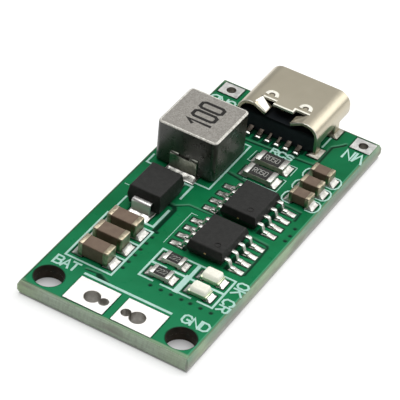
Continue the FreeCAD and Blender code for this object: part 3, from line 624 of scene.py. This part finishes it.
# Narrow gaps between coppers, each a half width and a run of points. The two widest, beside the diode
# and in front of the output capacitors, are widened to paint the shade there too.
GAPS = [(0.11, [(-3.25, 11.05), (5.05, 11.62), (5.2, 12.2), (5.2, 15.1), (5.95, 16.0), (6.1, 16.3)]),
        (0.05, [(-2.62, -1.25), (-1.72, -0.53), (0.75, -0.5)]),
        (0.2, [(-3.4, -1.5), (-2.75, -1.5), (-2.5, -1.9), (-2.5, -5.5)]),
        (0.07, [(-4.75, -13.6), (-3.4, -13.45)]),
        (0.26, [(-3.35, -13.6), (-2.4, -14.1)]),
        (0.13, [(-1.2, 5.86), (0.4, 5.6), (0.9, 5.5)]),
        (0.08, [(5.6, 4.78), (7.42, 4.68), (7.5, 3.4)]),
        (0.1, [(5.2, -1.05), (7.15, -1.22), (7.32, -1.5), (7.42, -5.9)])]

# The fine contacts of the receptacle stand on laminate without copper, whose darker mask also paints
# the shade under the receptacle: lowest and highest corner
CONTACT_FIELD = (Vector((-3.3, 12.4)), Vector((3.3, 13.6)))

# The lowest and highest corner of every pad on the upper face
WIRE_PADS = ["battery_pad_negative", "battery_pad_positive", "input_pad_negative", "input_pad_positive"]
PADS = [bounds_of(points) for node in [*JOINTS, "usb_leg_solder"] for points in components(node)]
PADS += [box_of(node) for node in WIRE_PADS]

# How far the bright walls of the plated holes stand into the hole and into the plating
BARREL_INSET = 0.006
BARREL_OVERLAP = 0.01
BARREL_STEPS = 120


def away_from_segments(x, y, line):
    """The distance from grid points to a line of points."""
    best = np.full(x.shape, 1e9)
    for (ax, ay), (bx, by) in zip(line, line[1:]):
        dx, dy = bx - ax, by - ay
        t = np.clip(((x - ax) * dx + (y - ay) * dy) / (dx * dx + dy * dy), 0, 1)
        best = np.minimum(best, np.hypot(x - ax - t * dx, y - ay - t * dy))
    return best


def away_from_rectangle(x, y, low, high):
    dx = np.maximum(np.maximum(low.x - x, x - high.x), 0)
    dy = np.maximum(np.maximum(low.y - y, y - high.y), 0)
    return np.hypot(dx, dy)


def ramp(value, low, high):
    t = np.clip((value - low) / (high - low), 0, 1)
    return t * t * (3 - 2 * t)


def outline_distance(x, y):
    """How far grid points lie inside the outline of the board's faces."""
    return np.minimum(HALF_WIDTH - np.abs(x), HALF_LENGTH - np.abs(y))


def board_marks(x, y, upper):
    """Copper under the mask, vias, bare laminate and a painted highlight on the copper edges that face
    the light, at grid points, each 0 to 1.
    """
    inside = outline_distance(x, y)
    copper = ramp(inside, 0.1, 0.22)
    for half_width, line in GAPS if upper else []:
        copper = np.minimum(copper, ramp(away_from_segments(x, y, line), half_width, half_width + 0.12))
    # Darker mask round the receptacle's contacts: laminate without copper, and painted shade under the
    # receptacle
    if upper:
        copper = np.minimum(copper, ramp(away_from_rectangle(x, y, *CONTACT_FIELD), 0, 0.15))
    # A painted highlight on the copper edges whose slope faces the light
    fall_y, fall_x = np.gradient(copper)
    painted_edge_highlight = np.clip(1.1 * (0.89 * fall_y - 0.46 * fall_x), 0, 0.8) * (inside > 0.5)
    for hole_x, hole_y, radius in HOLES:
        copper = np.minimum(copper, ramp(np.hypot(x - hole_x, y - hole_y) - radius, 0.02, 0.12))
    pads = PADS if upper else [pad for pad in PADS if pad[0].z < 0.5]
    for low, high in pads:
        moat = 0.02 if high.x - low.x > 3 else 0.09
        copper = np.minimum(copper, ramp(away_from_rectangle(x, y, low, high), moat, moat + 0.1))
    via = np.zeros(x.shape)
    for via_x, via_y in VIAS:
        via = np.maximum(via, 1 - ramp(np.hypot(x - via_x, y - via_y), 0.13, 0.27))
    corner = np.hypot(HALF_WIDTH - np.abs(x), HALF_LENGTH - np.abs(y))
    bare = np.maximum(1 - ramp(inside, 0.02, 0.12), 0.6 * (1 - ramp(corner, 0.15, 0.7)))
    front = HALF_LENGTH + y - 0.018 * (HALF_WIDTH + x)
    bare = np.maximum(bare, 1 - ramp(np.minimum(front, HALF_WIDTH - x - 0.04), 0.02, 0.16))
    return copper, via, bare * 0.8, painted_edge_highlight


def edge_place(anchor, z, share):
    """Where an edge's corner goes at a height: out along the snapped outline, or straight down a hole.

    share is the share of the groove's half width that the edge has there.
    """
    x, y, outline = anchor
    if not outline:
        return Vector((x, y, z))
    torn = 0.015 * (0.5 + 0.5 * noise.noise(Vector((x * 2.2, y * 2.2, z * 9)))) * share
    out = GROOVE_HALF_WIDTH * share - torn
    way_x = math.copysign(out, x) if abs(x) > HALF_WIDTH - 1e-4 else 0
    way_y = math.copysign(out, y) if abs(y) > HALF_LENGTH - 1e-4 else 0
    return Vector((x + way_x, y + way_y, z))


def face_grid(step):
    """Grid points over a face of the board, pulled onto the rims of the holes that they are close to.

    Also tells which points lie on the board rather than in a hole, and which lie on its outline.
    """
    columns = round(2 * HALF_WIDTH / step)
    rows = round(2 * HALF_LENGTH / step)
    old_x, old_y = np.meshgrid(np.linspace(-HALF_WIDTH, HALF_WIDTH, columns + 1),
                               np.linspace(-HALF_LENGTH, HALF_LENGTH, rows + 1))
    x, y = old_x, old_y
    nearest = np.full(x.shape, 1e9)
    for hole_x, hole_y, radius in HOLES:
        out = np.hypot(old_x - hole_x, old_y - hole_y)
        gap = out - radius
        closest = gap < nearest
        nearest = np.where(closest, gap, nearest)
        pull = closest & (np.abs(gap) < step / 2)
        x = np.where(pull, hole_x + (old_x - hole_x) * radius / np.maximum(out, 1e-9), x)
        y = np.where(pull, hole_y + (old_y - hole_y) * radius / np.maximum(out, 1e-9), y)
    return x, y, nearest > -step / 2, outline_distance(old_x, old_y) < 1e-4


def add_walls(bm, anchors, upper):
    """The walls of holes and the snapped edges of half the board, closed across its middle."""
    for depth in (0.08, 0.2, 0.32, GROOVE_DEPTH, 0.65, BOARD_TOP / 2):
        z = BOARD_TOP - depth if upper else depth
        share = min(1, depth / GROOVE_DEPTH)
        rim = [edge for edge in bm.edges if len(edge.link_faces) == 1]
        for item in bmesh.ops.extrude_edge_only(bm, edges=rim)["geom"]:
            if isinstance(item, bmesh.types.BMVert):
                item.co = edge_place(item[anchors], z, share)
            elif isinstance(item, bmesh.types.BMFace):
                item.material_index = 1 if all(vert[anchors][2] for vert in item.verts) else 2
    inner = [edge for edge in bm.edges if len(edge.link_faces) == 1]
    for item in bmesh.ops.triangle_fill(bm, use_beauty=False, edges=inner)["geom"]:
        if isinstance(item, bmesh.types.BMFace):
            item.material_index = 1


def board_half(name, upper, step):
    """Half of the board's thickness: a finely relieved face, the walls of holes and the snapped edges.

    Each corner keeps as its anchor where it started and whether that is on the outline.
    """
    x, y, kept, outline = face_grid(step)
    copper, via, bare, painted_edge_highlight = board_marks(x, y, upper)
    relief = MASK_DROP * (1 - copper) + VIA_DROP * via
    z = BOARD_TOP - relief if upper else BOARD_UNDER + 0.6 * relief
    bm = bmesh.new()
    marks = bm.verts.layers.float_color.new("board_marks")
    anchors = bm.verts.layers.float_vector.new("anchor")
    grid = {}
    for i, k in zip(*np.nonzero(kept)):
        vert = bm.verts.new((x[i, k], y[i, k], z[i, k]))
        vert[marks] = (copper[i, k], via[i, k], bare[i, k], painted_edge_highlight[i, k])
        vert[anchors] = (x[i, k], y[i, k], outline[i, k])
        grid[i, k] = vert
    for i in range(x.shape[0] - 1):
        for k in range(x.shape[1] - 1):
            corners = [grid.get(c) for c in ((i, k), (i, k + 1), (i + 1, k + 1), (i + 1, k))]
            corners = [c for c in corners if c]
            if len(corners) > 2:
                bm.faces.new(corners if upper else corners[::-1])
    add_walls(bm, anchors, upper)
    bm.verts.layers.float_vector.remove(anchors)
    # The holes' walls take a near-black material: painted shade
    drawn_piece(name, bm, ["mask", "laminate", "hole_wall_painted_shade"], "laminate", ["circuit_board"], sharp=40)


board_half("board_upper", True, 0.1)
board_half("board_lower", False, 0.1825)


def barrel(bm, circles, low, high):
    """The plating down a hole, whose outline is one circle or two that run together."""
    (ax, ay, ar), (bx, by, br) = circles[0], circles[-1]
    apart = math.hypot(bx - ax, by - ay)
    middle = Vector((ax, ay))
    if apart:
        middle = middle.lerp(Vector((bx, by)), (ar + apart - br) / 2 / apart)
    inner, outer = -BARREL_INSET, PLATING + BARREL_OVERLAP
    loops = []
    for grow, z in ((inner, high), (outer, high), (outer, low), (inner, low)):
        loop = []
        for step in range(BARREL_STEPS):
            turn = 2 * math.pi * step / BARREL_STEPS
            way = Vector((math.cos(turn), math.sin(turn)))
            reach = 0
            for x, y, radius in circles:
                offset = Vector((x, y)) - middle
                along = way.dot(offset)
                across = offset.length_squared - along ** 2
                reach = max(reach, along + math.sqrt((radius + grow) ** 2 - across))
            place = middle + way * reach
            loop.append(bm.verts.new((place.x, place.y, z)))
        loops.append(loop)
    join_loops(bm, loops + loops[:1], BARREL_STEPS)


def wire_barrels():
    """Tin down the keyholes of the battery pads and down the holes of the input pads, darkened as
    painted shade.
    """
    bm = bmesh.new()
    for circles in PLATED_HOLES:
        barrel(bm, circles, 0.004, PAD_TOP - 0.002)
    drawn_piece("wire_barrels", bm, ["barrel_tin_painted_shade"], "tinned_copper")


wire_barrels()


# Printed marks

# Each corner of a printed line stands this much higher than the last
RIBBON_CLIMB = 0.0006


def ribbon(bm, points, width, low, high, closed=False):
    """A flat printed line along a run of points, with slightly sloping sides and blunt ends.

    It climbs a very little along its way, so that a tight bend has no faces in one plane.
    """
    line = [Vector((x, y)) for x, y in points]
    count = len(line)
    half = width / 2
    slope = min(0.02, half / 3)
    if not closed:
        line[0] -= (line[1] - line[0]).normalized() * half * 0.8
        line[-1] += (line[-1] - line[-2]).normalized() * half * 0.8
    ways = [(end - start).normalized() for start, end in zip(line, line[1:] + line[:1])]
    if not closed:
        ways[-1] = ways[-2]
    loops = [[], [], [], []]
    for i, point in enumerate(line):
        before = ways[i - 1] if closed or i else ways[0]
        after = ways[i]
        normal = Vector((-before.y - after.y, before.x + after.x))
        normal = normal.normalized() if normal.length > 1e-6 else Vector((-before.y, before.x))
        stretch = 1 / max(0.5, normal.dot(Vector((-before.y, before.x))))
        top = high + RIBBON_CLIMB * i
        corners = ((-half, low), (slope - half, top), (half - slope, top), (half, low))
        for loop, (offset, z) in zip(loops, corners):
            place = point + normal * offset * stretch
            loop.append(bm.verts.new((place.x, place.y, z)))
    join_loops(bm, loops + loops[:1], count if closed else count - 1)
    if not closed:
        bm.faces.new([loop[0] for loop in loops])
        bm.faces.new([loop[-1] for loop in loops[::-1]])


def arc(x, y, radius, angles):
    """Points round a centre at angles in degrees."""
    turns = [math.radians(angle) for angle in angles]
    return [(x + radius * math.cos(turn), y + radius * math.sin(turn)) for turn in turns]


# The strokes of each letter and digit on a field 4 wide and 6 high
GLYPHS = {
    "A": ("0,0 2,6 4,0", "0.8,2 3.2,2"),
    "B": ("0,0 0,6 3,6 3.9,5.2 3.9,3.9 3,3.1 0,3.1", "3,3.1 4,2.3 4,0.9 3,0 0,0"),
    "C": ("4,1.1 3,0 1.2,0 0,1.3 0,4.7 1.2,6 3,6 4,4.9",),
    "D": ("0,0 0,6 2.5,6 4,4.6 4,1.4 2.5,0 0,0",),
    "G": ("4,4.9 3,6 1.2,6 0,4.7 0,1.3 1.2,0 3,0 4,1.1 4,2.8 2.4,2.8",),
    "I": ("1,0 1,6",),
    "K": ("0,0 0,6", "4,6 0,2.3", "1.2,3.4 4,0"),
    "N": ("0,0 0,6 4,0 4,6",),
    "O": ("1.2,0 0,1.3 0,4.7 1.2,6 2.8,6 4,4.7 4,1.3 2.8,0 1.2,0",),
    "R": ("0,0 0,6 3,6 4,5.1 4,3.9 3,3 0,3", "2,3 4,0"),
    "S": ("0,1 1,0 3,0 4,1 4,2.2 3,3 1,3 0,3.8 0,5 1,6 3,6 4,5",),
    "T": ("2,0 2,6", "0,6 4,6"),
    "V": ("0,6 2,0 4,6",),
    "0": ("0.8,0 0,0.7 0,5.3 0.8,6 3.2,6 4,5.3 4,0.7 3.2,0 0.8,0",),
    "1": ("1.7,4.4 3.4,6 3.4,0",),
    "2": ("0,5 1,6 3,6 4,5 4,3.8 0,0 4,0",),
    "5": ("4,6 0,6 0,3.4 2.8,3.6 4,2.7 4,1 3,0 1,0 0,0.9",),
}


def lettering(bm, text, start, along, height, pitch, width, low, high, squeeze=0.8):
    """Drawn letters from a start corner, where along is the way that the text runs."""
    along = Vector(along)
    up_way = Vector((-along.y, along.x))
    scale = height / 6
    for index, letter in enumerate(text):
        corner = Vector(start) + along * pitch * index
        for layer, stroke in enumerate(GLYPHS[letter]):
            places = [tuple(float(v) for v in pair.split(",")) for pair in stroke.split()]
            points = [corner + along * (a * scale * squeeze) + up_way * (b * scale) for a, b in places]
            closed = (points[0] - points[-1]).length < 1e-6
            ribbon(bm, points[:-1] if closed else points, width, low, high + 0.008 * layer, closed)


# Each text, its start corner, the way it runs, its height, its pitch and its share of full width
BOARD_TEXTS = [
    ("BAT", (-7.84, -14.53), (1, 0), 1.09, 0.86, 0.99),
    ("GND", (5.77, -14.5), (1, 0), 1.04, 0.94, 1.08),
    ("RCS", (0.63, 10.84), (1, 0), 0.76, 0.81, 1.25),
    ("OK", (7.62, -7.03), (0, -1), 1.05, 0.97, 1.03),
    ("CR", (7.62, -9.66), (0, -1), 1.05, 0.97, 1.03),
    ("V", (8.68, 15.72), (-1, 0), 1.3, 1, 1.12),
    ("I", (7.94, 15.72), (-1, 0), 1.3, 1, 1),
    ("N", (7.46, 15.72), (-1, 0), 1.3, 1, 0.95),
    ("GND", (-5.87, 15.58), (-1, 0), 1.05, 0.94, 1.05),
]


def board_ink():
    """The white printing on the board's upper face."""
    bm = bmesh.new()
    low, high = BOARD_TOP - 0.05, INK_TOP

    def line(points, width=0.22, closed=False, layer=0):
        ribbon(bm, points, width, low, high + 0.004 * layer, closed)

    # Frame of the output capacitors, and the bar between the battery pads
    line([(-7.4, -13.0), (-2.47, -13.0), (-2.47, -5.82), (-7.4, -5.82)], 0.24, True)
    for y in (-10.6, -8.17):
        line([(-3.6, y), (-2.5, y)], 0.24, layer=1)
    line([(-4.45, -14.18), (4.6, -14.18)], 0.32)

    # Frame of the status lights and their resistors, with a cross inside
    line([(0.95, -11.45), (-0.49, -11.45), (-0.49, -7.17),
          (7.25, -7.17), (7.25, -11.45), (5.75, -11.45)], 0.24)
    line([(1.85, -11.45), (4.95, -11.45)], 0.24)
    line([(3.5, -7.25), (3.5, -9.4)], 0.4, layer=1)
    line([(3.42, -9.2), (3.42, -11.37)], 0.62, layer=2)
    for start, end in ((-0.4, 1.05), (1.95, 7.15)):
        line([(start, -9.28), (end, -9.28)], 0.3, layer=3)

    # Corners round the inductor
    line([(-8.35, 3.95), (-8.35, 2.6), (-7.75, 2.6)])
    line([(-2.3, 10.5), (-1.38, 10.5), (-1.38, 2.58), (-2.9, 2.58)])

    # Thin lines round the sense resistors
    line([(-0.55, 10.3), (-0.62, 8.6), (-0.2, 8.6)], 0.09)
    line([(3.1, 10.3), (3.98, 10.3), (3.98, 8.9)], 0.1)
    line([(0.45, 5.92), (4.02, 5.98), (4.02, 7.98), (3.75, 7.98)], 0.1)

    # Round the diode
    line([(-3.75, 1.95), (-2.86, 1.95), (-2.86, -0.2)], 0.26)
    line([(-2.86, -2.35), (-2.86, -5.15), (-3.9, -5.15)], 0.28)
    line([(-7.2, -2.9), (-7.2, -5.7)])
    line([(-8.3, -1.35), (-7.9, -1.35)], 0.12)

    # Beside the receptacle and beside the controller
    line([(4.4, 14.6), (4.42, 16.3)])
    line([(-0.93, -6.4), (-0.93, -1.36), (-0.3, -1.36)], 0.09)

    # A bracket with cut corners at each end of an input capacitor
    for number in (1, 2, 3):
        node_low, node_high = box_of("input_capacitor_%d_ends" % number)
        y = (node_low.y + node_high.y) / 2
        for side, x in ((-1, node_low.x - 0.52), (1, node_high.x + 0.57)):
            half = [(-0.75, 0.84), (-0.15, 0.84), (0.12, 0.65), (0.28, 0.3)]
            line([(x + side * out, y - aside) for out, aside in half]
                 + [(x + side * out, y + aside) for out, aside in half[::-1]], 0.18)

    for text, start, along, height, pitch, squeeze in BOARD_TEXTS:
        lettering(bm, text, start, along, height, pitch, 0.17 + 0.07 * height, low, high, squeeze)
    drawn_piece("board_printing", bm, ["board_ink"], "laminate")


board_ink()


def part_marks():
    """Value codes on the inductor, the sense resistors and the resistors of the status lights."""
    bm = bmesh.new()
    top = box_of("inductor_body")[1].z
    lettering(bm, "100", (-3.42, 4.58), (0, 1), 2.38, 1.45, 0.38, top - 0.02, top + 0.004, 0.6)
    drawn_piece("inductor_mark", bm, ["dark_mark"], "inductor_core")
    bm = bmesh.new()
    for number in (1, 2):
        low, high = box_of("sense_resistor_%d_overcoat" % number)
        lettering(bm, "R050", (low.x + 0.24, low.y + 0.42), (1, 0), 0.66, 0.4, 0.085,
                  high.z - 0.02, high.z + 0.006, 0.66)
        low, high = box_of("light_resistor_%d_overcoat" % number)
        lettering(bm, "222", (low.x + 0.18, low.y + 0.32), (1, 0), 0.5, 0.33, 0.06,
                  high.z - 0.02, high.z + 0.006)
    drawn_piece("resistor_marks", bm, ["part_mark"], "overcoat")


part_marks()


# Receptacle

# The shell's back, and the centre and radius of its rounded right corner there
SHELL_BACK = 12.98
SHELL_CORNER = (3.07, 3.45, 1.37)


def latch_lips():
    """The turned-up rims of the two latch openings in the shell in near-white metal, a painted
    highlight, and dark strips beside them, painted shadow of the openings.
    """
    lips = bmesh.new()
    slot_shadows = bmesh.new()
    top = box_of("usb_shell")[1].z
    for x in (-1.875, 1.875):
        for bm, radius, width, high in ((lips, 0.5, 0.4, 0.04), (slot_shadows, 0.24, 0.13, 0.012)):
            ribbon(bm, arc(x, 15.08, radius, range(0, 181, 12)), width, top - 0.03, top + high)
    drawn_piece("latch_lips", lips, ["painted_highlight_metal"], "shell_steel")
    # Painted shadow of the latch openings
    drawn_piece("latch_slot_shadows", slot_shadows, ["contact"], "shell_steel")


def bead(bm, points, radius):
    """A round bead of metal along a run of points in an upright plane across Y."""
    across = Vector((0, 1, 0))
    turns = [math.pi * step / 4 for step in range(8)]
    rings = []
    for i, point in enumerate(points):
        before = Vector(points[max(i - 1, 0)])
        after = Vector(points[min(i + 1, len(points) - 1)])
        out = (after - before).normalized().cross(across)
        ways = [math.cos(turn) * out + math.sin(turn) * across for turn in turns]
        rings.append([bm.verts.new(Vector(point) + radius * way) for way in ways])
    join_loops(bm, rings, len(turns))
    bm.faces.new(rings[0])
    bm.faces.new(rings[-1][::-1])


def shell_edges():
    """Near-white strips and beads along the edges of the receptacle's rear window and of the arches at
    its back: painted highlights.
    """
    bm = bmesh.new()
    top = box_of("usb_shell")[1].z
    for line in ([(-2.4, 14.51), (-1.1, 14.51)],
                 [(-1.0, 13.97), (1.05, 13.97), (1.05, 14.51), (2.55, 14.51)]):
        ribbon(bm, line, 0.26, top - 0.2, top + 0.006)
    arch = [(1.42, 4.2), (2.05, 4.53), (2.6, 4.78)] + arc(*SHELL_CORNER, range(90, 9, -10))
    for side in (-1, 1):
        bead(bm, [(side * x, SHELL_BACK, z) for x, z in arch], 0.055)
    drawn_piece("shell_edges", bm, ["painted_highlight_metal"], "shell_steel")


def flap_faces():
    """The upper faces of the two flaps that dip between the receptacle's window and its back."""
    bm = bmesh.new()
    for side, root, tip in ((-1, (2.8, 13.3, 4.9), (1.32, 13.76, 4.36)),
                            (1, (2.9, 13.3, 4.862), (1.5, 13.25, 4.4))):
        outline = [root, (2.55, 14.45, 4.862), tip, (1.36, 12.97, 4.34)]
        rings = []
        for drop in (0, 0.07):
            rings.append([bm.verts.new((side * x, y, z - drop)) for x, y, z in outline])
        bm.faces.new(rings[0])
        bm.faces.new(rings[1][::-1])
        join_loops(bm, rings, len(outline))
    bmesh.ops.recalc_face_normals(bm, faces=bm.faces)
    bmesh.ops.bevel(bm, geom=bm.edges[:], offset=0.03, segments=2, affect="EDGES")
    # The left flap's faces take the near-white metal, a painted highlight, and the right flap's the
    # shell's steel
    for face in bm.faces:
        face.material_index = 0 if face.calc_center_median().x < 0 else 1
    new_piece("flap_faces", bm, ["painted_highlight_metal", "shell"], "shell_steel")


shell_edges()
latch_lips()
flap_faces()


# Chips

def chip_details():
    """Moulded rings round the orientation dimples, and the cut tie bars in the ends of both chips."""
    rings = bmesh.new()
    bars = bmesh.new()
    for node in ("controller_body", "transistor_body"):
        low, high = box_of(node)
        ribbon(rings, arc(high.x - 1.18, low.y + 1.05, 0.3, range(0, 360, 15)), 0.07,
               high.z - 0.02, high.z + 0.006, True)
        for end in (low.y, high.y):
            inward = 0.02 if end == low.y else -0.02
            bar = bmesh.ops.create_cube(bars, size=1)["verts"]
            bmesh.ops.scale(bars, vec=(0.2, 0.12, 0.11), verts=bar)
            middle = ((low.x + high.x) / 2 + 0.07, end + inward, (low.z + high.z) / 2)
            bmesh.ops.translate(bars, vec=middle, verts=bar)
    drawn_piece("dimple_rings", rings, ["dark_mark"], "black_moulding")
    drawn_piece("tie_bars", bars, ["copper"], "tinned_lead")


chip_details()


# CAD shapes with softer edges

# Each node, the width of its rounded edges, its material, its slot, and its rim's and sides' materials
SOFTENED = [
    ("usb_shell", 0.07, "shell", "shell_steel"),
    ("usb_contacts", 0.02, "contact", "gilt_contact"),
    # The inductor's rim and sloping faces get a painted highlight
    ("inductor_body", 0.09, "iron", "inductor_core", "worn_rim", "iron_side"),
    ("inductor_terminals", 0.03, "terminal_tin", "tinned_lead"),
    ("diode_body", 0.05, "black_moulding", "black_moulding"),
    ("diode_leads", 0.03, "pad_tin", "tinned_lead"),
    ("controller_body", 0.04, "black_moulding", "black_moulding"),
    ("controller_leads", 0.03, "lead_tin", "tinned_lead"),
    ("transistor_body", 0.04, "black_moulding", "black_moulding"),
    ("transistor_leads", 0.03, "lead_tin", "tinned_lead"),
    ("usb_leg_solder", 0.04, "dull_solder", "solder"),
]
for node in WIRE_PADS:
    SOFTENED.append((node, 0.015, "pad_tin" if "battery" in node else "dull_tin", "tinned_copper"))
for number in (1, 2, 3):
    for kind in ("output", "input"):
        node = "%s_capacitor_%d" % (kind, number)
        SOFTENED.append((node, 0.02, "capacitor_ceramic", "capacitor_ceramic"))
        SOFTENED.append((node + "_ends", 0.06, "end_tin", "end_metal"))
for number in (1, 2):
    for kind in ("sense", "light"):
        node = "%s_resistor_%d" % (kind, number)
        # The sense resistors' base is painted darker: painted shade
        base = "sense_base" if kind == "sense" else "alumina"
        SOFTENED.append((node + "_base", 0.02, base, "resistor_ceramic"))
        SOFTENED.append((node + "_overcoat", 0.012, "overcoat", "overcoat"))
        SOFTENED.append((node + "_ends", 0.015, "wrap_tin", "end_metal"))
    node = "status_light_%d" % number
    SOFTENED.append((node + "_base", 0.02, "light_base", "light_base"))
    SOFTENED.append((node + "_lens", 0.14, "light_lens", "light_lens"))
    SOFTENED.append((node + "_ends", 0.02, "gilt", "gilt_end"))
for entry in SOFTENED:
    softened(*entry)


# The share of the insulator's height that is kept above its ledge, up to the ledge's front
LEDGE_SHARE = 0.35
LEDGE_FRONT = 14.9


def sunken_housing():
    """The receptacle's insulator, whose back lies well below the shell's window and flaps."""
    piece = softened("usb_housing", 0.02, "insulator", "black_moulding")
    for vert in piece.data.vertices:
        height = vert.co.z / MM - LEDGE_TOP
        if vert.co.y / MM < LEDGE_FRONT and height > 0:
            vert.co.z = (LEDGE_TOP + LEDGE_SHARE * height) * MM


sunken_housing()


# Floor, lamps and surroundings

FLOOR_GAP = 0.01
FLOOR_HALF = 1500

# The floor's glow underneath the board, kept low to paint the board's shadow there, and around it
GLOW_IN_PAINTED_SHADOW = 0.15
GLOW_AROUND = 0.5


def floor_material():
    """White ground that glows where it is looked at or mirrored, and less so underneath the board,
    which paints the board's shadow there.
    """
    made = Shader("floor_white")
    ray = made.add("LightPath").outputs
    looked_at = made.calc("MAXIMUM", ray["Is Camera Ray"], ray["Is Glossy Ray"])
    looked_at = made.calc("MAXIMUM", looked_at, ray["Is Transmission Ray"])
    past = []
    for axis, half in (("X", HALF_WIDTH), ("Y", HALF_LENGTH)):
        away = made.calc("ABSOLUTE", made.axis(axis))
        past.append(made.calc("GREATER_THAN", away, (half + 0.1) * MM))
    glow = made.spread(made.calc("MAXIMUM", *past), GLOW_IN_PAINTED_SHADOW, GLOW_AROUND, 0, 1)
    made.set(Base_Color=(0.62, 0.62, 0.62, 1), Roughness=0.9, Emission_Color=(1, 1, 1, 1))
    made.link(made.calc("MULTIPLY", looked_at, glow), made.shader.inputs["Emission Strength"])
    return made


def floor():
    bm = bmesh.new()
    bmesh.ops.create_grid(bm, x_segments=8, y_segments=8, size=FLOOR_HALF)
    mesh = mesh_in_metres("floor", bm)
    mesh.materials.append(floor_material().material)
    piece = placed("floor", mesh)
    piece.location.z = -FLOOR_GAP * MM


def lamp(name, place, size, power):
    """A soft lamp at a place in metres that shines at the board's middle."""
    data = bpy.data.lights.new(name, "AREA")
    data.shape = "RECTANGLE"
    data.size, data.size_y = size
    data.energy = power
    made = placed(name, data)
    made.location = place
    made.rotation_euler = (-Vector(place)).to_track_quat("-Z", "Y").to_euler()


def surroundings():
    """Surroundings that grow lighter from the camera's side to the far side."""
    world = bpy.data.worlds.new("studio")
    bpy.context.scene.world = world
    world.use_nodes = True
    tree = world.node_tree
    way = tree.nodes.new("ShaderNodeTexCoord").outputs["Generated"]
    split = tree.nodes.new("ShaderNodeSeparateXYZ")
    tree.links.new(way, split.inputs["Vector"])
    grey = tree.nodes.new("ShaderNodeMapRange")
    for socket, value in (("From Min", -0.1), ("From Max", 0.55), ("To Min", 0.1), ("To Max", 0.5)):
        grey.inputs[socket].default_value = value
    tree.links.new(split.outputs["Y"], grey.inputs["Value"])
    tree.links.new(grey.outputs["Result"], tree.nodes["Background"].inputs["Color"])


floor()
lamp("softbox_above", (-0.05, 0.1, 0.6), (0.6, 0.6), 3.0)
lamp("softbox_right_behind", (0.42, 0.54, 0.42), (0.6, 0.5), 1.55)
surroundings()
bpy.context.scene.view_settings.view_transform = "Standard"
